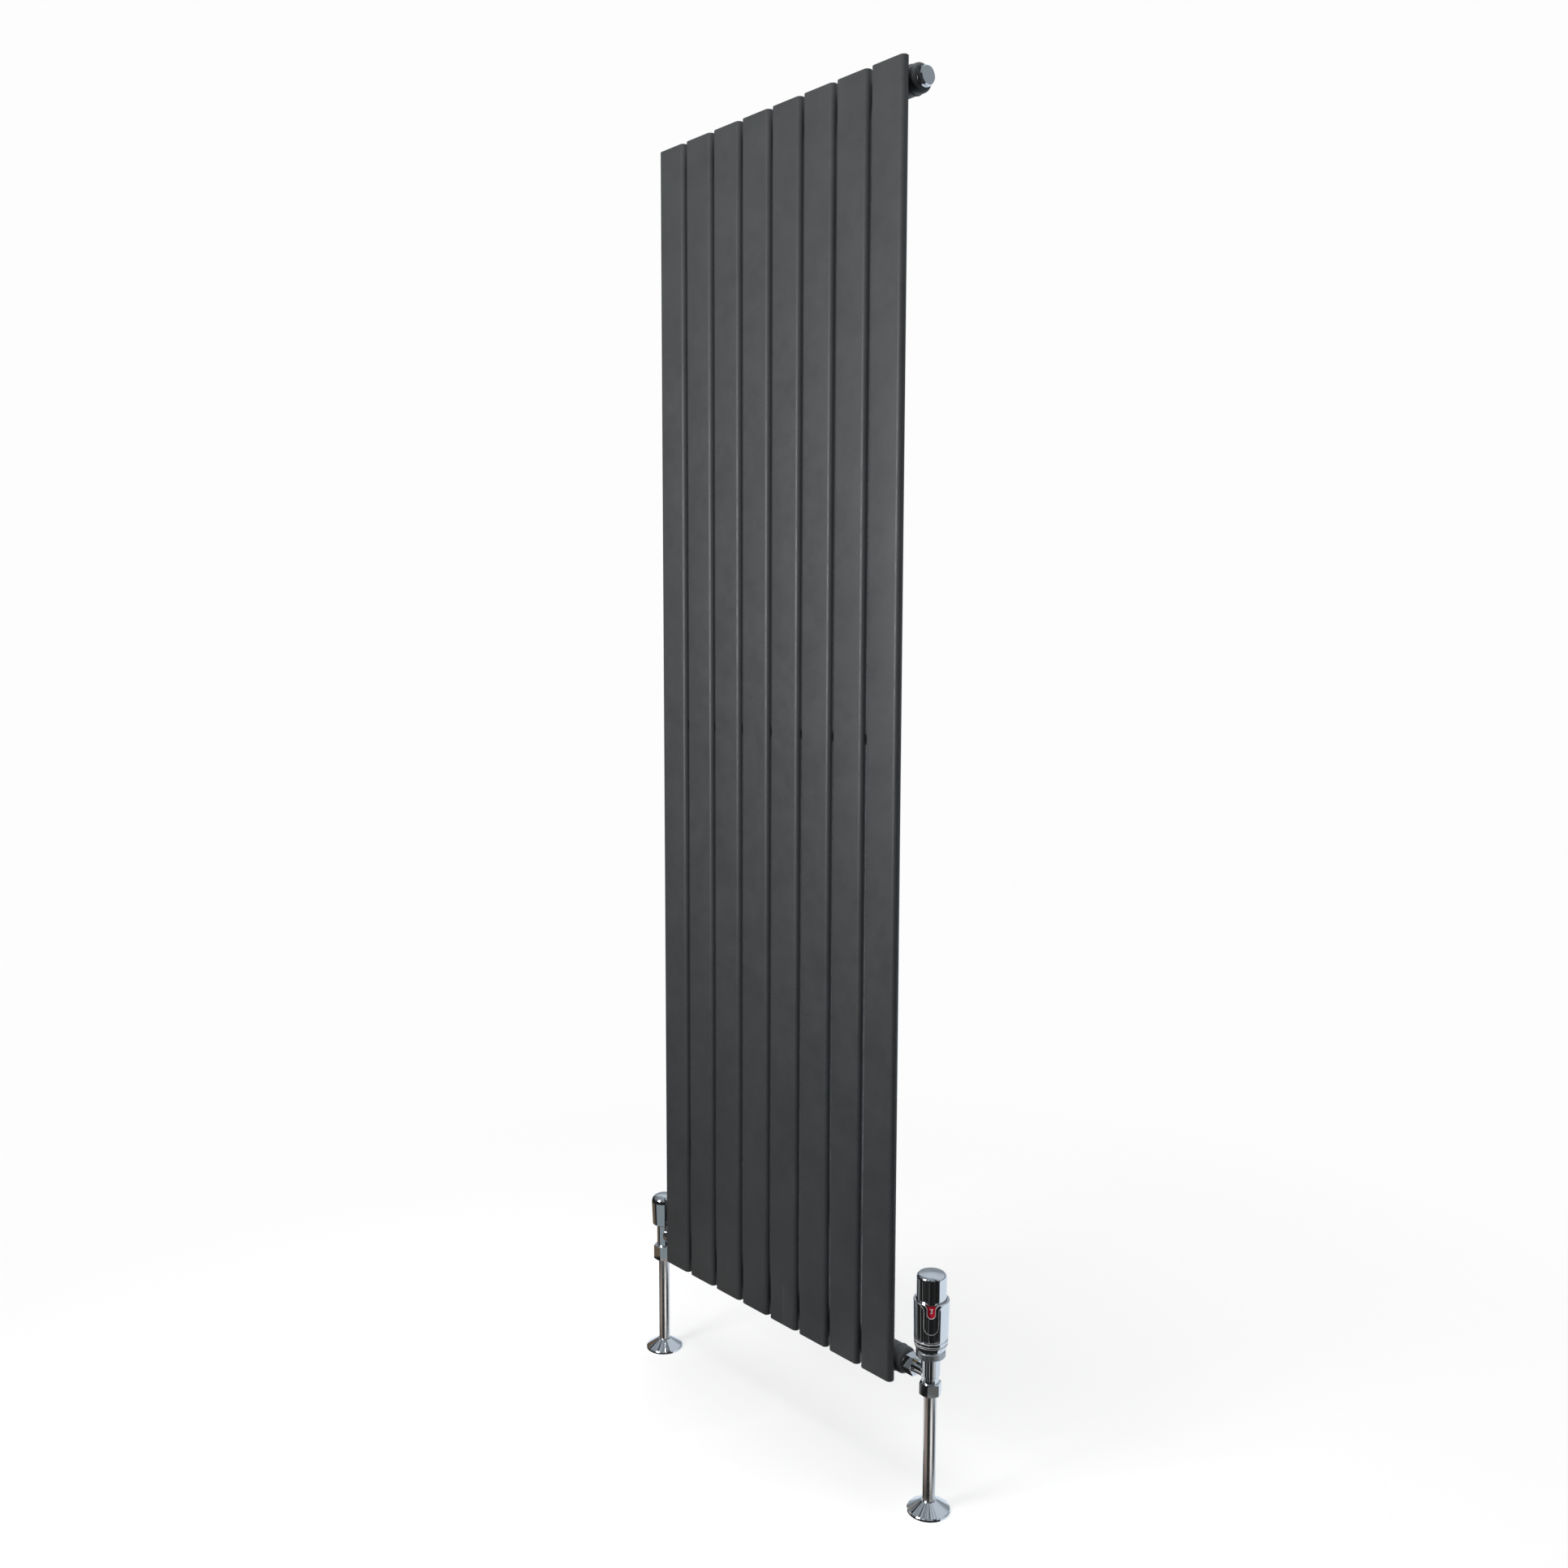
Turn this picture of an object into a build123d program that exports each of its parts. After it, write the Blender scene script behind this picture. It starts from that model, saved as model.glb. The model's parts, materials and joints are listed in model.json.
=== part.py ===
from build123d import *
import os
from math import cos, radians, sin

# A tall flat-tube radiator: eight vertical flat tubes on two round headers, an angled
# thermostatic valve at the bottom right, an angled lockshield valve at the bottom left,
# and both supply pipes down to the floor.
#
# Frame: millimetres, +Z up, +X towards the thermostatic valve, +Y into the wall.
# The origin is the centre of the four wall screws, on the wall's face.

os.makedirs("parts", exist_ok=True)

# ---- driving dimensions -------------------------------------------------------------
TUBE_COUNT = 8
PANEL_WIDTH = 472.0  # over all the flat tubes
TUBE_WIDTH = 54.5
TUBE_DEPTH = 12.0
TUBE_HEIGHT = 1600.0
TUBE_WALL = 1.5
END_PLATE = 2.0  # thickness of the plate that closes a flat tube

HEADER_RADIUS = 17.0
HEADER_WALL = 2.0
HEADER_INSET = 21.0  # header axis from the end of the flat tubes
HEADER_OVERHANG = 4.0  # header end beyond the outermost flat tube
HEADER_TO_WALL = 45.0

PORT_RADIUS = 7.0  # water port between a header and a flat tube
PORT_WALL = 1.4
PORT_LENGTH = 6.5
PORT_REACH = 0.5  # how far a nipple stands out of the tube's wall, inside it

THREAD_RADIUS = 10.48  # G1/2 thread, drawn plain
END_LENGTH = 14.0  # visible length of a header end fitting
END_SPIGOT = 8.0  # length of it inside the header
END_ROUND = 5.0
SEAT_RADIUS = 11.5
SEAT_DEPTH = 1.5

PIPE_RADIUS = 7.5
PIPE_BORE = 6.8
SLEEVE_RADIUS = 8.0
PIPE_OFFSET = 39.0  # pipe axis beyond the header's end face
FLOOR_DROP = 160.0  # floor below the flat tubes

FIXING_X = 150.0  # wall screws, half their spacing
FIXING_Z = 650.0
SCREW_HOLE = 3.25
STUD_RISE = 22.0  # bracket stud above its wall screw

NUT_FLATS = 25.0
UNION_FLATS = 24.0
HEXAGON = cos(radians(30))  # half across flats over half across corners
RUNNING = 0.05  # clearance of a shaft in its bore
FREE = 0.4  # clearance of a piece that only passes another

WINDOW_TURN = 43.0  # the dial window, turned from the front towards +X
DIAL_RADIUS = 19.1
KNOB_RADIUS = 18.9
HOUSING_RIM = 22.65

# ---- places worked out from them ----------------------------------------------------
PITCH = (PANEL_WIDTH - TUBE_WIDTH) / (TUBE_COUNT - 1)
TUBE_X = [(i - (TUBE_COUNT - 1) / 2) * PITCH for i in range(TUBE_COUNT)]
HEADER_HALF = PANEL_WIDTH / 2 + HEADER_OVERHANG
HEADER_Z = TUBE_HEIGHT / 2 - HEADER_INSET
HEADER_Y = -HEADER_TO_WALL
TUBE_BACK = HEADER_Y - HEADER_RADIUS
TUBE_MID_Y = TUBE_BACK - TUBE_DEPTH / 2
PIPE_X = HEADER_HALF + PIPE_OFFSET
FLOOR_Z = -TUBE_HEIGHT / 2 - FLOOR_DROP
FLOOR_LEVEL = FLOOR_Z + HEADER_Z  # the floor, measured from the lower header's axis


def save(piece, name):
    """Label a finished sub-part and write it as a STEP file of that name."""
    piece.part.label = name
    export_step(piece.part, f"parts/{name}.step")


def section(side, x, z):
    """A vertical plane along the headers; its x runs outwards and its y runs up."""
    return Plane(origin=(side * x, HEADER_Y, z), x_dir=(side, 0, 0), z_dir=(0, -side, 0))


def valve_section(side):
    """The section plane whose origin is where a pipe's axis meets the lower header's."""
    return section(side, PIPE_X, -HEADER_Z)


def outline(plane, points):
    """A closed straight-sided profile on a plane."""
    with BuildSketch(plane) as profile:
        with BuildLine():
            Polyline(*points, close=True)
        make_face()
    return profile.sketch


def upright(plane):
    """The vertical axis through a section plane's origin."""
    return Axis(plane.origin, (0, 0, 1))


def lengthwise(plane):
    """The horizontal axis through a section plane's origin, along the headers."""
    return Axis(plane.origin, (1, 0, 0))


def turned(name, plane, axis, points):
    """Write a sub-part that is one profile turned about an axis."""
    with BuildPart() as piece:
        revolve(outline(plane, points), axis=axis)
    save(piece, name)


# ---- radiator -----------------------------------------------------------------------
def flat_tube(name, x):
    """One hollow flat tube with round long edges, closed ends and two ports behind."""
    with BuildPart() as tube:
        with BuildSketch(Plane.XY.offset(-TUBE_HEIGHT / 2)):
            with Locations((x, TUBE_MID_Y)):
                SlotOverall(TUBE_WIDTH, TUBE_DEPTH)
        extrude(amount=TUBE_HEIGHT)
        with BuildSketch(Plane.XY.offset(-TUBE_HEIGHT / 2 + END_PLATE)):
            with Locations((x, TUBE_MID_Y)):
                SlotOverall(TUBE_WIDTH - 2 * TUBE_WALL, TUBE_DEPTH - 2 * TUBE_WALL)
        extrude(amount=TUBE_HEIGHT - 2 * END_PLATE, mode=Mode.SUBTRACT)
        with BuildSketch(Plane.XZ.offset(-TUBE_BACK)):
            with Locations((x, HEADER_Z), (x, -HEADER_Z)):
                Circle(PORT_RADIUS)
        extrude(amount=TUBE_WALL, mode=Mode.SUBTRACT)
    save(tube, name)


def header(name, z):
    """A round header tube with one port towards each flat tube."""
    with BuildPart() as tube:
        with BuildSketch(Plane.YZ.offset(-(HEADER_HALF - END_LENGTH))):
            with Locations((HEADER_Y, z)):
                Circle(HEADER_RADIUS)
                Circle(HEADER_RADIUS - HEADER_WALL, mode=Mode.SUBTRACT)
        extrude(amount=2 * (HEADER_HALF - END_LENGTH))
        with BuildSketch(Plane.XZ.offset(-HEADER_Y)):
            with Locations(*[(x, z) for x in TUBE_X]):
                Circle(PORT_RADIUS)
        extrude(amount=HEADER_RADIUS, mode=Mode.SUBTRACT)
    save(tube, name)


def port_nipples(name, z):
    """The short tubes that carry water from a header into the flat tubes."""
    inner_end = TUBE_BACK - TUBE_WALL - PORT_REACH
    with BuildPart() as nipples:
        with BuildSketch(Plane.XZ.offset(-inner_end - PORT_LENGTH)):
            with Locations(*[(x, z) for x in TUBE_X]):
                Circle(PORT_RADIUS)
                Circle(PORT_RADIUS - PORT_WALL, mode=Mode.SUBTRACT)
        extrude(amount=PORT_LENGTH)
    save(nipples, name)


def header_end(name, side, z):
    """The rounded end fitting of a header, threaded inside, with a seal seat."""
    plane = section(side, HEADER_HALF, z)
    bore = HEADER_RADIUS - HEADER_WALL
    with BuildPart() as end:
        with BuildSketch(plane):
            with BuildLine():
                outer = Polyline(
                    (-SEAT_DEPTH, THREAD_RADIUS),
                    (-END_LENGTH - END_SPIGOT, THREAD_RADIUS),
                    (-END_LENGTH - END_SPIGOT, bore),
                    (-END_LENGTH, bore),
                    (-END_LENGTH, HEADER_RADIUS),
                    (-END_ROUND, HEADER_RADIUS),
                )
                corner = RadiusArc(
                    outer @ 1, (0, HEADER_RADIUS - END_ROUND), END_ROUND
                )
                Polyline(
                    corner @ 1,
                    (0, SEAT_RADIUS),
                    (-SEAT_DEPTH, SEAT_RADIUS),
                    (-SEAT_DEPTH, THREAD_RADIUS),
                )
            make_face()
        revolve(axis=lengthwise(plane))
    save(end, name)


for number, tube_x in enumerate(TUBE_X, start=1):
    flat_tube(f"flat_tube_{number}", tube_x)

for level, header_z in (("upper", HEADER_Z), ("lower", -HEADER_Z)):
    header(f"{level}_header", header_z)
    port_nipples(f"{level}_port_nipples", header_z)
    header_end(f"{level}_left_header_end", -1, header_z)
    header_end(f"{level}_right_header_end", 1, header_z)

# The flat bar that ties the tubes together at mid-height, on their backs.
TIE_INSET = 14.0  # from the outer edges of the outermost tubes
TIE_HEIGHT = 12.0
TIE_DEPTH = 4.0
TIE_CORNER = 2.0
TIE_Z = 8.0
with BuildPart() as tie_bar:
    with BuildSketch(Plane.XZ.offset(-TUBE_BACK - TIE_DEPTH)):
        with Locations((0, TIE_Z)):
            RectangleRounded(PANEL_WIDTH - 2 * TIE_INSET, TIE_HEIGHT, TIE_CORNER)
    extrude(amount=TIE_DEPTH)
save(tie_bar, "tie_bar")

# ---- wall brackets ------------------------------------------------------------------
STUD_RADIUS = 6.0
STUD_FOOT = (11.0, 2.0)  # radius and thickness of the disc welded to the tube
STUD_END = -14.0  # y of the stud's end, inside its socket
PLATE_RADIUS = 14.0
PLATE_THICKNESS = 5.0
SOCKET_RADIUS = 12.0
SOCKET_MOUTH = -44.0
SOCKET_CHAMFER = 1.0
GRUB_RADIUS = 2.5
GRUB_Y = -30.0
GRUB_KEY = 2.5
GRUB_SINK = 0.5  # the screw's foot below the socket's surface
CORNERS = [(sx * FIXING_X, sz * FIXING_Z) for sz in (1, -1) for sx in (-1, 1)]
STUDS = [(x, z + STUD_RISE) for x, z in CORNERS]

with BuildPart() as bracket_studs:
    with BuildSketch(Plane.XZ.offset(-STUD_END)):
        with Locations(*STUDS):
            Circle(STUD_RADIUS)
    extrude(amount=STUD_END - TUBE_BACK)
    with BuildSketch(Plane.XZ.offset(-TUBE_BACK - STUD_FOOT[1])):
        with Locations(*STUDS):
            Circle(STUD_FOOT[0])
    extrude(amount=STUD_FOOT[1])
save(bracket_studs, "bracket_studs")


def wall_bracket(name, x, z):
    """A wall plate with one screw hole, and the socket that takes a radiator stud."""
    with BuildPart() as bracket:
        with BuildSketch(Plane.XZ):
            with Locations((x, z + STUD_RISE / 2)):
                SlotCenterToCenter(STUD_RISE, 2 * PLATE_RADIUS, rotation=90)
        extrude(amount=PLATE_THICKNESS)
        with BuildSketch(Plane.XZ.offset(PLATE_THICKNESS)):
            with Locations((x, z + STUD_RISE)):
                Circle(SOCKET_RADIUS)
        extrude(amount=-SOCKET_MOUTH - PLATE_THICKNESS)
        chamfer(bracket.faces().sort_by(Axis.Y)[0].edges(), SOCKET_CHAMFER)
        with BuildSketch(Plane.XZ.offset(-STUD_END)):
            with Locations((x, z + STUD_RISE)):
                Circle(STUD_RADIUS)
        extrude(amount=STUD_END - SOCKET_MOUTH, mode=Mode.SUBTRACT)
        with BuildSketch(Plane.XZ):
            with Locations((x, z)):
                Circle(SCREW_HOLE)
        extrude(amount=PLATE_THICKNESS, mode=Mode.SUBTRACT)
        with BuildSketch(Plane.XY.offset(z + STUD_RISE)):
            with Locations((x, GRUB_Y)):
                Circle(GRUB_RADIUS)
        extrude(amount=-SOCKET_RADIUS, mode=Mode.SUBTRACT)
    save(bracket, name)


for (bracket_x, bracket_z), place in zip(
    CORNERS, ("upper_left", "upper_right", "lower_left", "lower_right")
):
    wall_bracket(f"{place}_wall_bracket", bracket_x, bracket_z)

with BuildPart() as grub_screws:
    for x, z in STUDS:
        with BuildSketch(Plane.XY.offset(z - SOCKET_RADIUS + GRUB_SINK)):
            with Locations((x, GRUB_Y)):
                Circle(GRUB_RADIUS)
        extrude(amount=SOCKET_RADIUS - STUD_RADIUS - GRUB_SINK)
        with BuildSketch(Plane.XY.offset(z - SOCKET_RADIUS + GRUB_SINK)):
            with Locations((x, GRUB_Y)):
                RegularPolygon(GRUB_KEY / 2, 6, major_radius=False)
        extrude(amount=GRUB_KEY, mode=Mode.SUBTRACT)
save(grub_screws, "bracket_grub_screws")

# ---- plugs in the upper header ------------------------------------------------------
PLUG_FLANGE = (12.0, 2.0)  # radius and thickness
PLUG_FLATS = 21.0
PLUG_CHAMFER = 1.2
PLUG_HEAD = 6.0
PLUG_THREAD = 12.0
PLUG_BORE = 7.0
PLUG_FLOOR = 3.0
BLEED_RADIUS = 3.0
BLEED_RECESS = (4.6, 4.0)  # radius and depth of the recess round the key square
BLEED_SQUARE = 5.0
BLEED_CONE = 1.5  # length of the screw's tapered tip
SQUARE_SINK = 0.5  # its key square below the plug's face


# The four identical flat seals, one in the seat of each header end.
with BuildPart() as header_seals:
    for side in (-1, 1):
        for header_z in (HEADER_Z, -HEADER_Z):
            plane = section(side, HEADER_HALF, header_z)
            seal_profile = outline(
                plane,
                (
                    (-SEAT_DEPTH, THREAD_RADIUS),
                    (0, THREAD_RADIUS),
                    (0, SEAT_RADIUS),
                    (-SEAT_DEPTH, SEAT_RADIUS),
                ),
            )
            revolve(seal_profile, axis=lengthwise(plane))
save(header_seals, "header_seals")


def upper_plug(name, side, bleed_hole):
    """A flanged hexagon plug; with a bleed hole it carries the bleed screw."""
    plane = section(side, HEADER_HALF, HEADER_Z)
    axis = lengthwise(plane)
    flange_radius, flange = PLUG_FLANGE
    face = flange + PLUG_HEAD
    across = PLUG_FLATS / 2 / HEXAGON
    # The turned chamfer rounds the hexagon's corners towards the face.
    chamfered = outline(
        plane,
        (
            (flange, 0),
            (flange, across),
            (face - PLUG_CHAMFER, across),
            (face, PLUG_FLATS / 2),
            (face, 0),
        ),
    )
    with BuildPart() as plug:
        with BuildSketch(Plane.YZ.offset(side * (HEADER_HALF + flange))):
            with Locations((HEADER_Y, HEADER_Z)):
                RegularPolygon(PLUG_FLATS / 2, 6, major_radius=False)
        extrude(amount=side * PLUG_HEAD)
        revolve(chamfered, axis=axis, mode=Mode.INTERSECT)
        revolve(
            outline(
                plane,
                (
                    (-PLUG_THREAD, PLUG_BORE),
                    (-PLUG_FLOOR, PLUG_BORE),
                    (-PLUG_FLOOR, 0),
                    (flange, 0),
                    (flange, flange_radius),
                    (0, flange_radius),
                    (0, THREAD_RADIUS),
                    (-PLUG_THREAD, THREAD_RADIUS),
                ),
            ),
            axis=axis,
        )
        if bleed_hole:
            recess_radius, recess = BLEED_RECESS
            revolve(
                outline(
                    plane,
                    (
                        (-PLUG_FLOOR, 0),
                        (-PLUG_FLOOR, BLEED_RADIUS + RUNNING),
                        (face - recess, BLEED_RADIUS + RUNNING),
                        (face - recess, recess_radius),
                        (face, recess_radius),
                        (face, 0),
                    ),
                ),
                axis=axis,
                mode=Mode.SUBTRACT,
            )
    save(plug, name)


upper_plug("blanking_plug", 1, bleed_hole=False)
upper_plug("air_vent_plug", -1, bleed_hole=True)

# ---- bleed screw --------------------------------------------------------------------
BLEED_TAIL = -2.5  # inner end of the bleed screw, from the header's end face
vent_plane = section(-1, HEADER_HALF, HEADER_Z)
vent_face = PLUG_FLANGE[1] + PLUG_HEAD
with BuildPart() as bleed_screw:
    revolve(
        outline(
            vent_plane,
            (
                (BLEED_TAIL, 0),
                (BLEED_TAIL, BLEED_RADIUS - BLEED_CONE),
                (BLEED_TAIL + BLEED_CONE, BLEED_RADIUS),
                (vent_face - BLEED_RECESS[1], BLEED_RADIUS),
                (vent_face - BLEED_RECESS[1], 0),
            ),
        ),
        axis=lengthwise(vent_plane),
    )
    with BuildSketch(Plane.YZ.offset(-(HEADER_HALF + vent_face - BLEED_RECESS[1]))):
        with Locations((HEADER_Y, HEADER_Z)):
            Rectangle(BLEED_SQUARE, BLEED_SQUARE)
    extrude(amount=-BLEED_RECESS[1] + SQUARE_SINK)
save(bleed_screw, "bleed_screw")


# ---- parts both valves share --------------------------------------------------------
# Heights and distances in a valve are from the point where the pipe's axis crosses the
# lower header's; "out" runs away from the radiator.
STUB_RADIUS = 10.0  # threaded ends of a valve body
SOCKET_LENGTH = 9.0  # depth of the pipe in the body
OLIVE_LENGTH = 3.0
OLIVE_CREST = 0.2  # its crest inside the nut's bore
OLIVE_END = 1.2
NUT_FLOOR = 2.5
ARM_RADIUS = 8.5
ARM_BORE = 6.0
ARM_END = -30.0
ARM_THREAD = -23.0
BODY_WALL = 1.0  # least wall between the chamber and the arm's root
TAIL_FLANGE = (11.8, 2.0)
TAIL_NECK = 7.5
TAIL_COLLAR = (9.9, 3.0)
TAIL_THREAD = 14.0
HEX_CHAMFER = 1.6


def hexagon_nut(name, plane, axis, flats, low, high, bore, cavity, floor):
    """A hexagon nut from low to high along its axis, with a floor that holds a collar.

    The profile's first number runs along the axis when the nut lies along the headers
    and across it when the nut stands upright.
    """
    lying = axis.direction.Z < 0.5
    across = flats / 2 / HEXAGON

    def placed(points):
        return [(along, r) if lying else (r, along) for along, r in points]

    side = plane.x_dir.X
    base = (
        Plane(plane.from_local_coords((low, 0, 0)), x_dir=(0, 1, 0), z_dir=(side, 0, 0))
        if lying
        else Plane(plane.from_local_coords((0, low, 0)))
    )
    shape = outline(
        plane,
        placed(
            (
                (low, bore),
                (low, flats / 2),
                (low + HEX_CHAMFER / 2, across),
                (high - HEX_CHAMFER / 2, across),
                (high, flats / 2),
                (high, cavity),
                (low + floor, cavity),
                (low + floor, bore),
            )
        ),
    )
    with BuildPart() as nut:
        with BuildSketch(base):
            RegularPolygon(flats / 2, 6, major_radius=False)
        extrude(amount=high - low)
        revolve(shape, axis=axis, mode=Mode.INTERSECT)
    save(nut, name)


def valve_tail(name, side):
    """The tail screwed into the header; its collar is held by the union nut."""
    plane = valve_section(side)
    face = -PIPE_OFFSET
    flange_radius, flange = TAIL_FLANGE
    collar_radius, collar = TAIL_COLLAR
    points = (
        (face - TAIL_THREAD, ARM_BORE),
        (face - TAIL_THREAD, THREAD_RADIUS),
        (face, THREAD_RADIUS),
        (face, flange_radius),
        (face + flange, flange_radius),
        (face + flange, TAIL_NECK),
        (ARM_END - collar, TAIL_NECK),
        (ARM_END - collar, collar_radius),
        (ARM_END, collar_radius),
        (ARM_END, ARM_BORE),
    )
    turned(name, plane, lengthwise(plane), points)


def valve_fittings(prefix, side, nut_low, nut_high, nut_flats):
    """Tail, union nut, compression nut, olive, pipe, sleeve and floor collar."""
    plane = valve_section(side)
    valve_tail(f"{prefix}_tail", side)
    hexagon_nut(
        f"{prefix}_union_nut",
        plane,
        lengthwise(plane),
        UNION_FLATS,
        -PIPE_OFFSET + TAIL_FLANGE[1],
        ARM_THREAD,
        TAIL_NECK + RUNNING,
        STUB_RADIUS,
        ARM_END - TAIL_COLLAR[1] + PIPE_OFFSET - TAIL_FLANGE[1],
    )
    hexagon_nut(
        f"{prefix}_compression_nut",
        plane,
        upright(plane),
        nut_flats,
        nut_low,
        nut_high,
        PIPE_RADIUS,
        STUB_RADIUS,
        NUT_FLOOR,
    )
    olive = nut_low + NUT_FLOOR
    turned(
        f"{prefix}_olive",
        plane,
        upright(plane),
        (
            (PIPE_RADIUS, olive),
            (STUB_RADIUS - OLIVE_END, olive),
            (STUB_RADIUS - OLIVE_CREST, olive + OLIVE_LENGTH / 2),
            (STUB_RADIUS - OLIVE_END, olive + OLIVE_LENGTH),
            (PIPE_RADIUS, olive + OLIVE_LENGTH),
        ),
    )
    pipe_top = olive + OLIVE_LENGTH + SOCKET_LENGTH
    ring(f"{prefix}_pipe", plane, PIPE_BORE, PIPE_RADIUS, FLOOR_LEVEL, pipe_top)
    ring(f"{prefix}_pipe_sleeve", plane, PIPE_RADIUS, SLEEVE_RADIUS, FLOOR_LEVEL, nut_low)
    floor_collar(f"{prefix}_floor_collar", plane)


def ring(name, plane, inner, outer, low, high):
    """A plain upright ring or tube."""
    points = ((inner, low), (outer, low), (outer, high), (inner, high))
    turned(name, plane, upright(plane), points)


def floor_collar(name, plane):
    """The pressed cover over the hole in the floor, free to slide up its pipe."""
    height, rim, lip, skin, corner = 14.0, 27.5, 3.0, 1.4, 0.6
    neck = SLEEVE_RADIUS + FREE
    points = (
        (neck, FLOOR_LEVEL + height - 1.2 * skin),
        (neck, FLOOR_LEVEL + height),
        (neck + skin, FLOOR_LEVEL + height),
        (rim - 1.6 * corner, FLOOR_LEVEL + lip + corner),
        (rim, FLOOR_LEVEL + lip - corner),
        (rim, FLOOR_LEVEL),
        (rim - skin, FLOOR_LEVEL),
        (rim - skin, FLOOR_LEVEL + lip - skin),
        (neck + skin, FLOOR_LEVEL + height - 1.6 * skin),
    )
    turned(name, plane, upright(plane), points)


def valve_body(name, side, points, chamber_radius):
    """A turned valve body with a horizontal arm that opens into its chamber."""
    plane = valve_section(side)
    axis = lengthwise(plane)
    wall = chamber_radius + BODY_WALL
    with BuildPart() as body:
        revolve(outline(plane, points), axis=upright(plane))
        arm = (
            (ARM_END, 0),
            (ARM_END, STUB_RADIUS),
            (ARM_THREAD, STUB_RADIUS),
            (ARM_THREAD, ARM_RADIUS),
            (-wall, ARM_RADIUS),
            (-wall, 0),
        )
        revolve(outline(plane, arm), axis=axis)
        inside = 1.5 * BODY_WALL - chamber_radius
        bore = ((ARM_END, 0), (ARM_END, ARM_BORE), (inside, ARM_BORE), (inside, 0))
        revolve(outline(plane, bore), axis=axis, mode=Mode.SUBTRACT)
    save(body, name)


# ---- thermostatic valve -------------------------------------------------------------
T_NUT = (-26.5, -11.0)
T_STUB = T_NUT[0] + NUT_FLOOR + OLIVE_LENGTH  # lower end of the body
T_BODY_RADIUS = 12.0
T_BODY_TOP = 22.0
T_WAIST = -2.6  # the body narrows below this height
T_SEAT = -3.0
T_CHAMBER = 8.0
SEAT_BORE = 5.0  # water way through a valve's seat
EDGE = 0.6  # small turned chamfers
CONTACT = 0.1  # gap between a nut and the body's shoulder
T_INSERT_FOOT = 9.0
INSERT_RADIUS = 9.0
INSERT_FLANGE = 14.8
INSERT_TOP = 30.0
SPRING_SEAT = 14.0
SPRING_TOP = 24.0
SPRING_CAVITY = 6.0
GLAND_WALL = 1.2
STEM_COLLAR = 2.0  # thickness of the collar that takes the spring
CAVITY_TOP = 28.0
GLAND_TOP = 34.0
STEM_RADIUS = 2.0
STEM_TOP = 40.0
RING_LOW = 22.6
RING_TOP = 34.5
HOUSING_TOP = 97.6
KNOB_TOP = 131.8
DIAL_LOW = 66.0

thermostatic = valve_section(1)
thermostatic_axis = upright(thermostatic)

valve_fittings("thermostatic", 1, *T_NUT, NUT_FLATS)
valve_body(
    "thermostatic_body",
    1,
    (
        (PIPE_RADIUS, T_STUB),
        (PIPE_RADIUS, T_STUB + SOCKET_LENGTH),
        (SEAT_BORE, T_STUB + SOCKET_LENGTH),
        (SEAT_BORE, T_SEAT),
        (T_CHAMBER, T_SEAT),
        (T_CHAMBER, T_INSERT_FOOT),
        (INSERT_RADIUS, T_INSERT_FOOT),
        (INSERT_RADIUS, T_BODY_TOP),
        (T_BODY_RADIUS - EDGE, T_BODY_TOP),
        (T_BODY_RADIUS, T_BODY_TOP - EDGE),
        (T_BODY_RADIUS, T_WAIST + T_BODY_RADIUS - STUB_RADIUS - EDGE),
        (STUB_RADIUS + EDGE, T_WAIST),
        (STUB_RADIUS + EDGE, T_NUT[1] + CONTACT),
        (STUB_RADIUS, T_NUT[1] + CONTACT),
        (STUB_RADIUS, T_STUB),
    ),
    T_CHAMBER,
)
turned(
    "thermostatic_insert",
    thermostatic,
    thermostatic_axis,
    (
        (STEM_RADIUS + RUNNING, T_INSERT_FOOT),
        (INSERT_RADIUS, T_INSERT_FOOT),
        (INSERT_RADIUS, T_BODY_TOP),
        (INSERT_FLANGE, T_BODY_TOP),
        (INSERT_FLANGE, INSERT_TOP),
        (SPRING_CAVITY, INSERT_TOP),
        (SPRING_CAVITY, SPRING_SEAT),
        (STEM_RADIUS + RUNNING, SPRING_SEAT),
    ),
)
turned(
    "thermostatic_gland_nut",
    thermostatic,
    thermostatic_axis,
    (
        (STEM_RADIUS + RUNNING, CAVITY_TOP),
        (SPRING_CAVITY, CAVITY_TOP),
        (SPRING_CAVITY, INSERT_TOP),
        (SPRING_CAVITY + GLAND_WALL, INSERT_TOP),
        (SPRING_CAVITY + GLAND_WALL, GLAND_TOP),
        (STEM_RADIUS + RUNNING, GLAND_TOP),
    ),
)
# The stem's foot holds the washer; its collar takes the spring.
FOOT = (0.7, 2.7)
WASHER = 2.0
COLLAR_GAP = 0.8
turned(
    "thermostatic_spindle",
    thermostatic,
    thermostatic_axis,
    (
        (0, FOOT[0]),
        (SPRING_CAVITY, FOOT[0]),
        (SPRING_CAVITY, FOOT[1]),
        (STEM_RADIUS, FOOT[1]),
        (STEM_RADIUS, SPRING_TOP),
        (SPRING_CAVITY - COLLAR_GAP, SPRING_TOP),
        (SPRING_CAVITY - COLLAR_GAP, SPRING_TOP + STEM_COLLAR),
        (STEM_RADIUS, SPRING_TOP + STEM_COLLAR),
        (STEM_RADIUS, STEM_TOP),
        (0, STEM_TOP),
    ),
)
turned(
    "thermostatic_washer",
    thermostatic,
    thermostatic_axis,
    (
        (0, FOOT[0] - WASHER),
        (SPRING_CAVITY, FOOT[0] - WASHER),
        (SPRING_CAVITY, FOOT[0]),
        (0, FOOT[0]),
    ),
)

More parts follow.
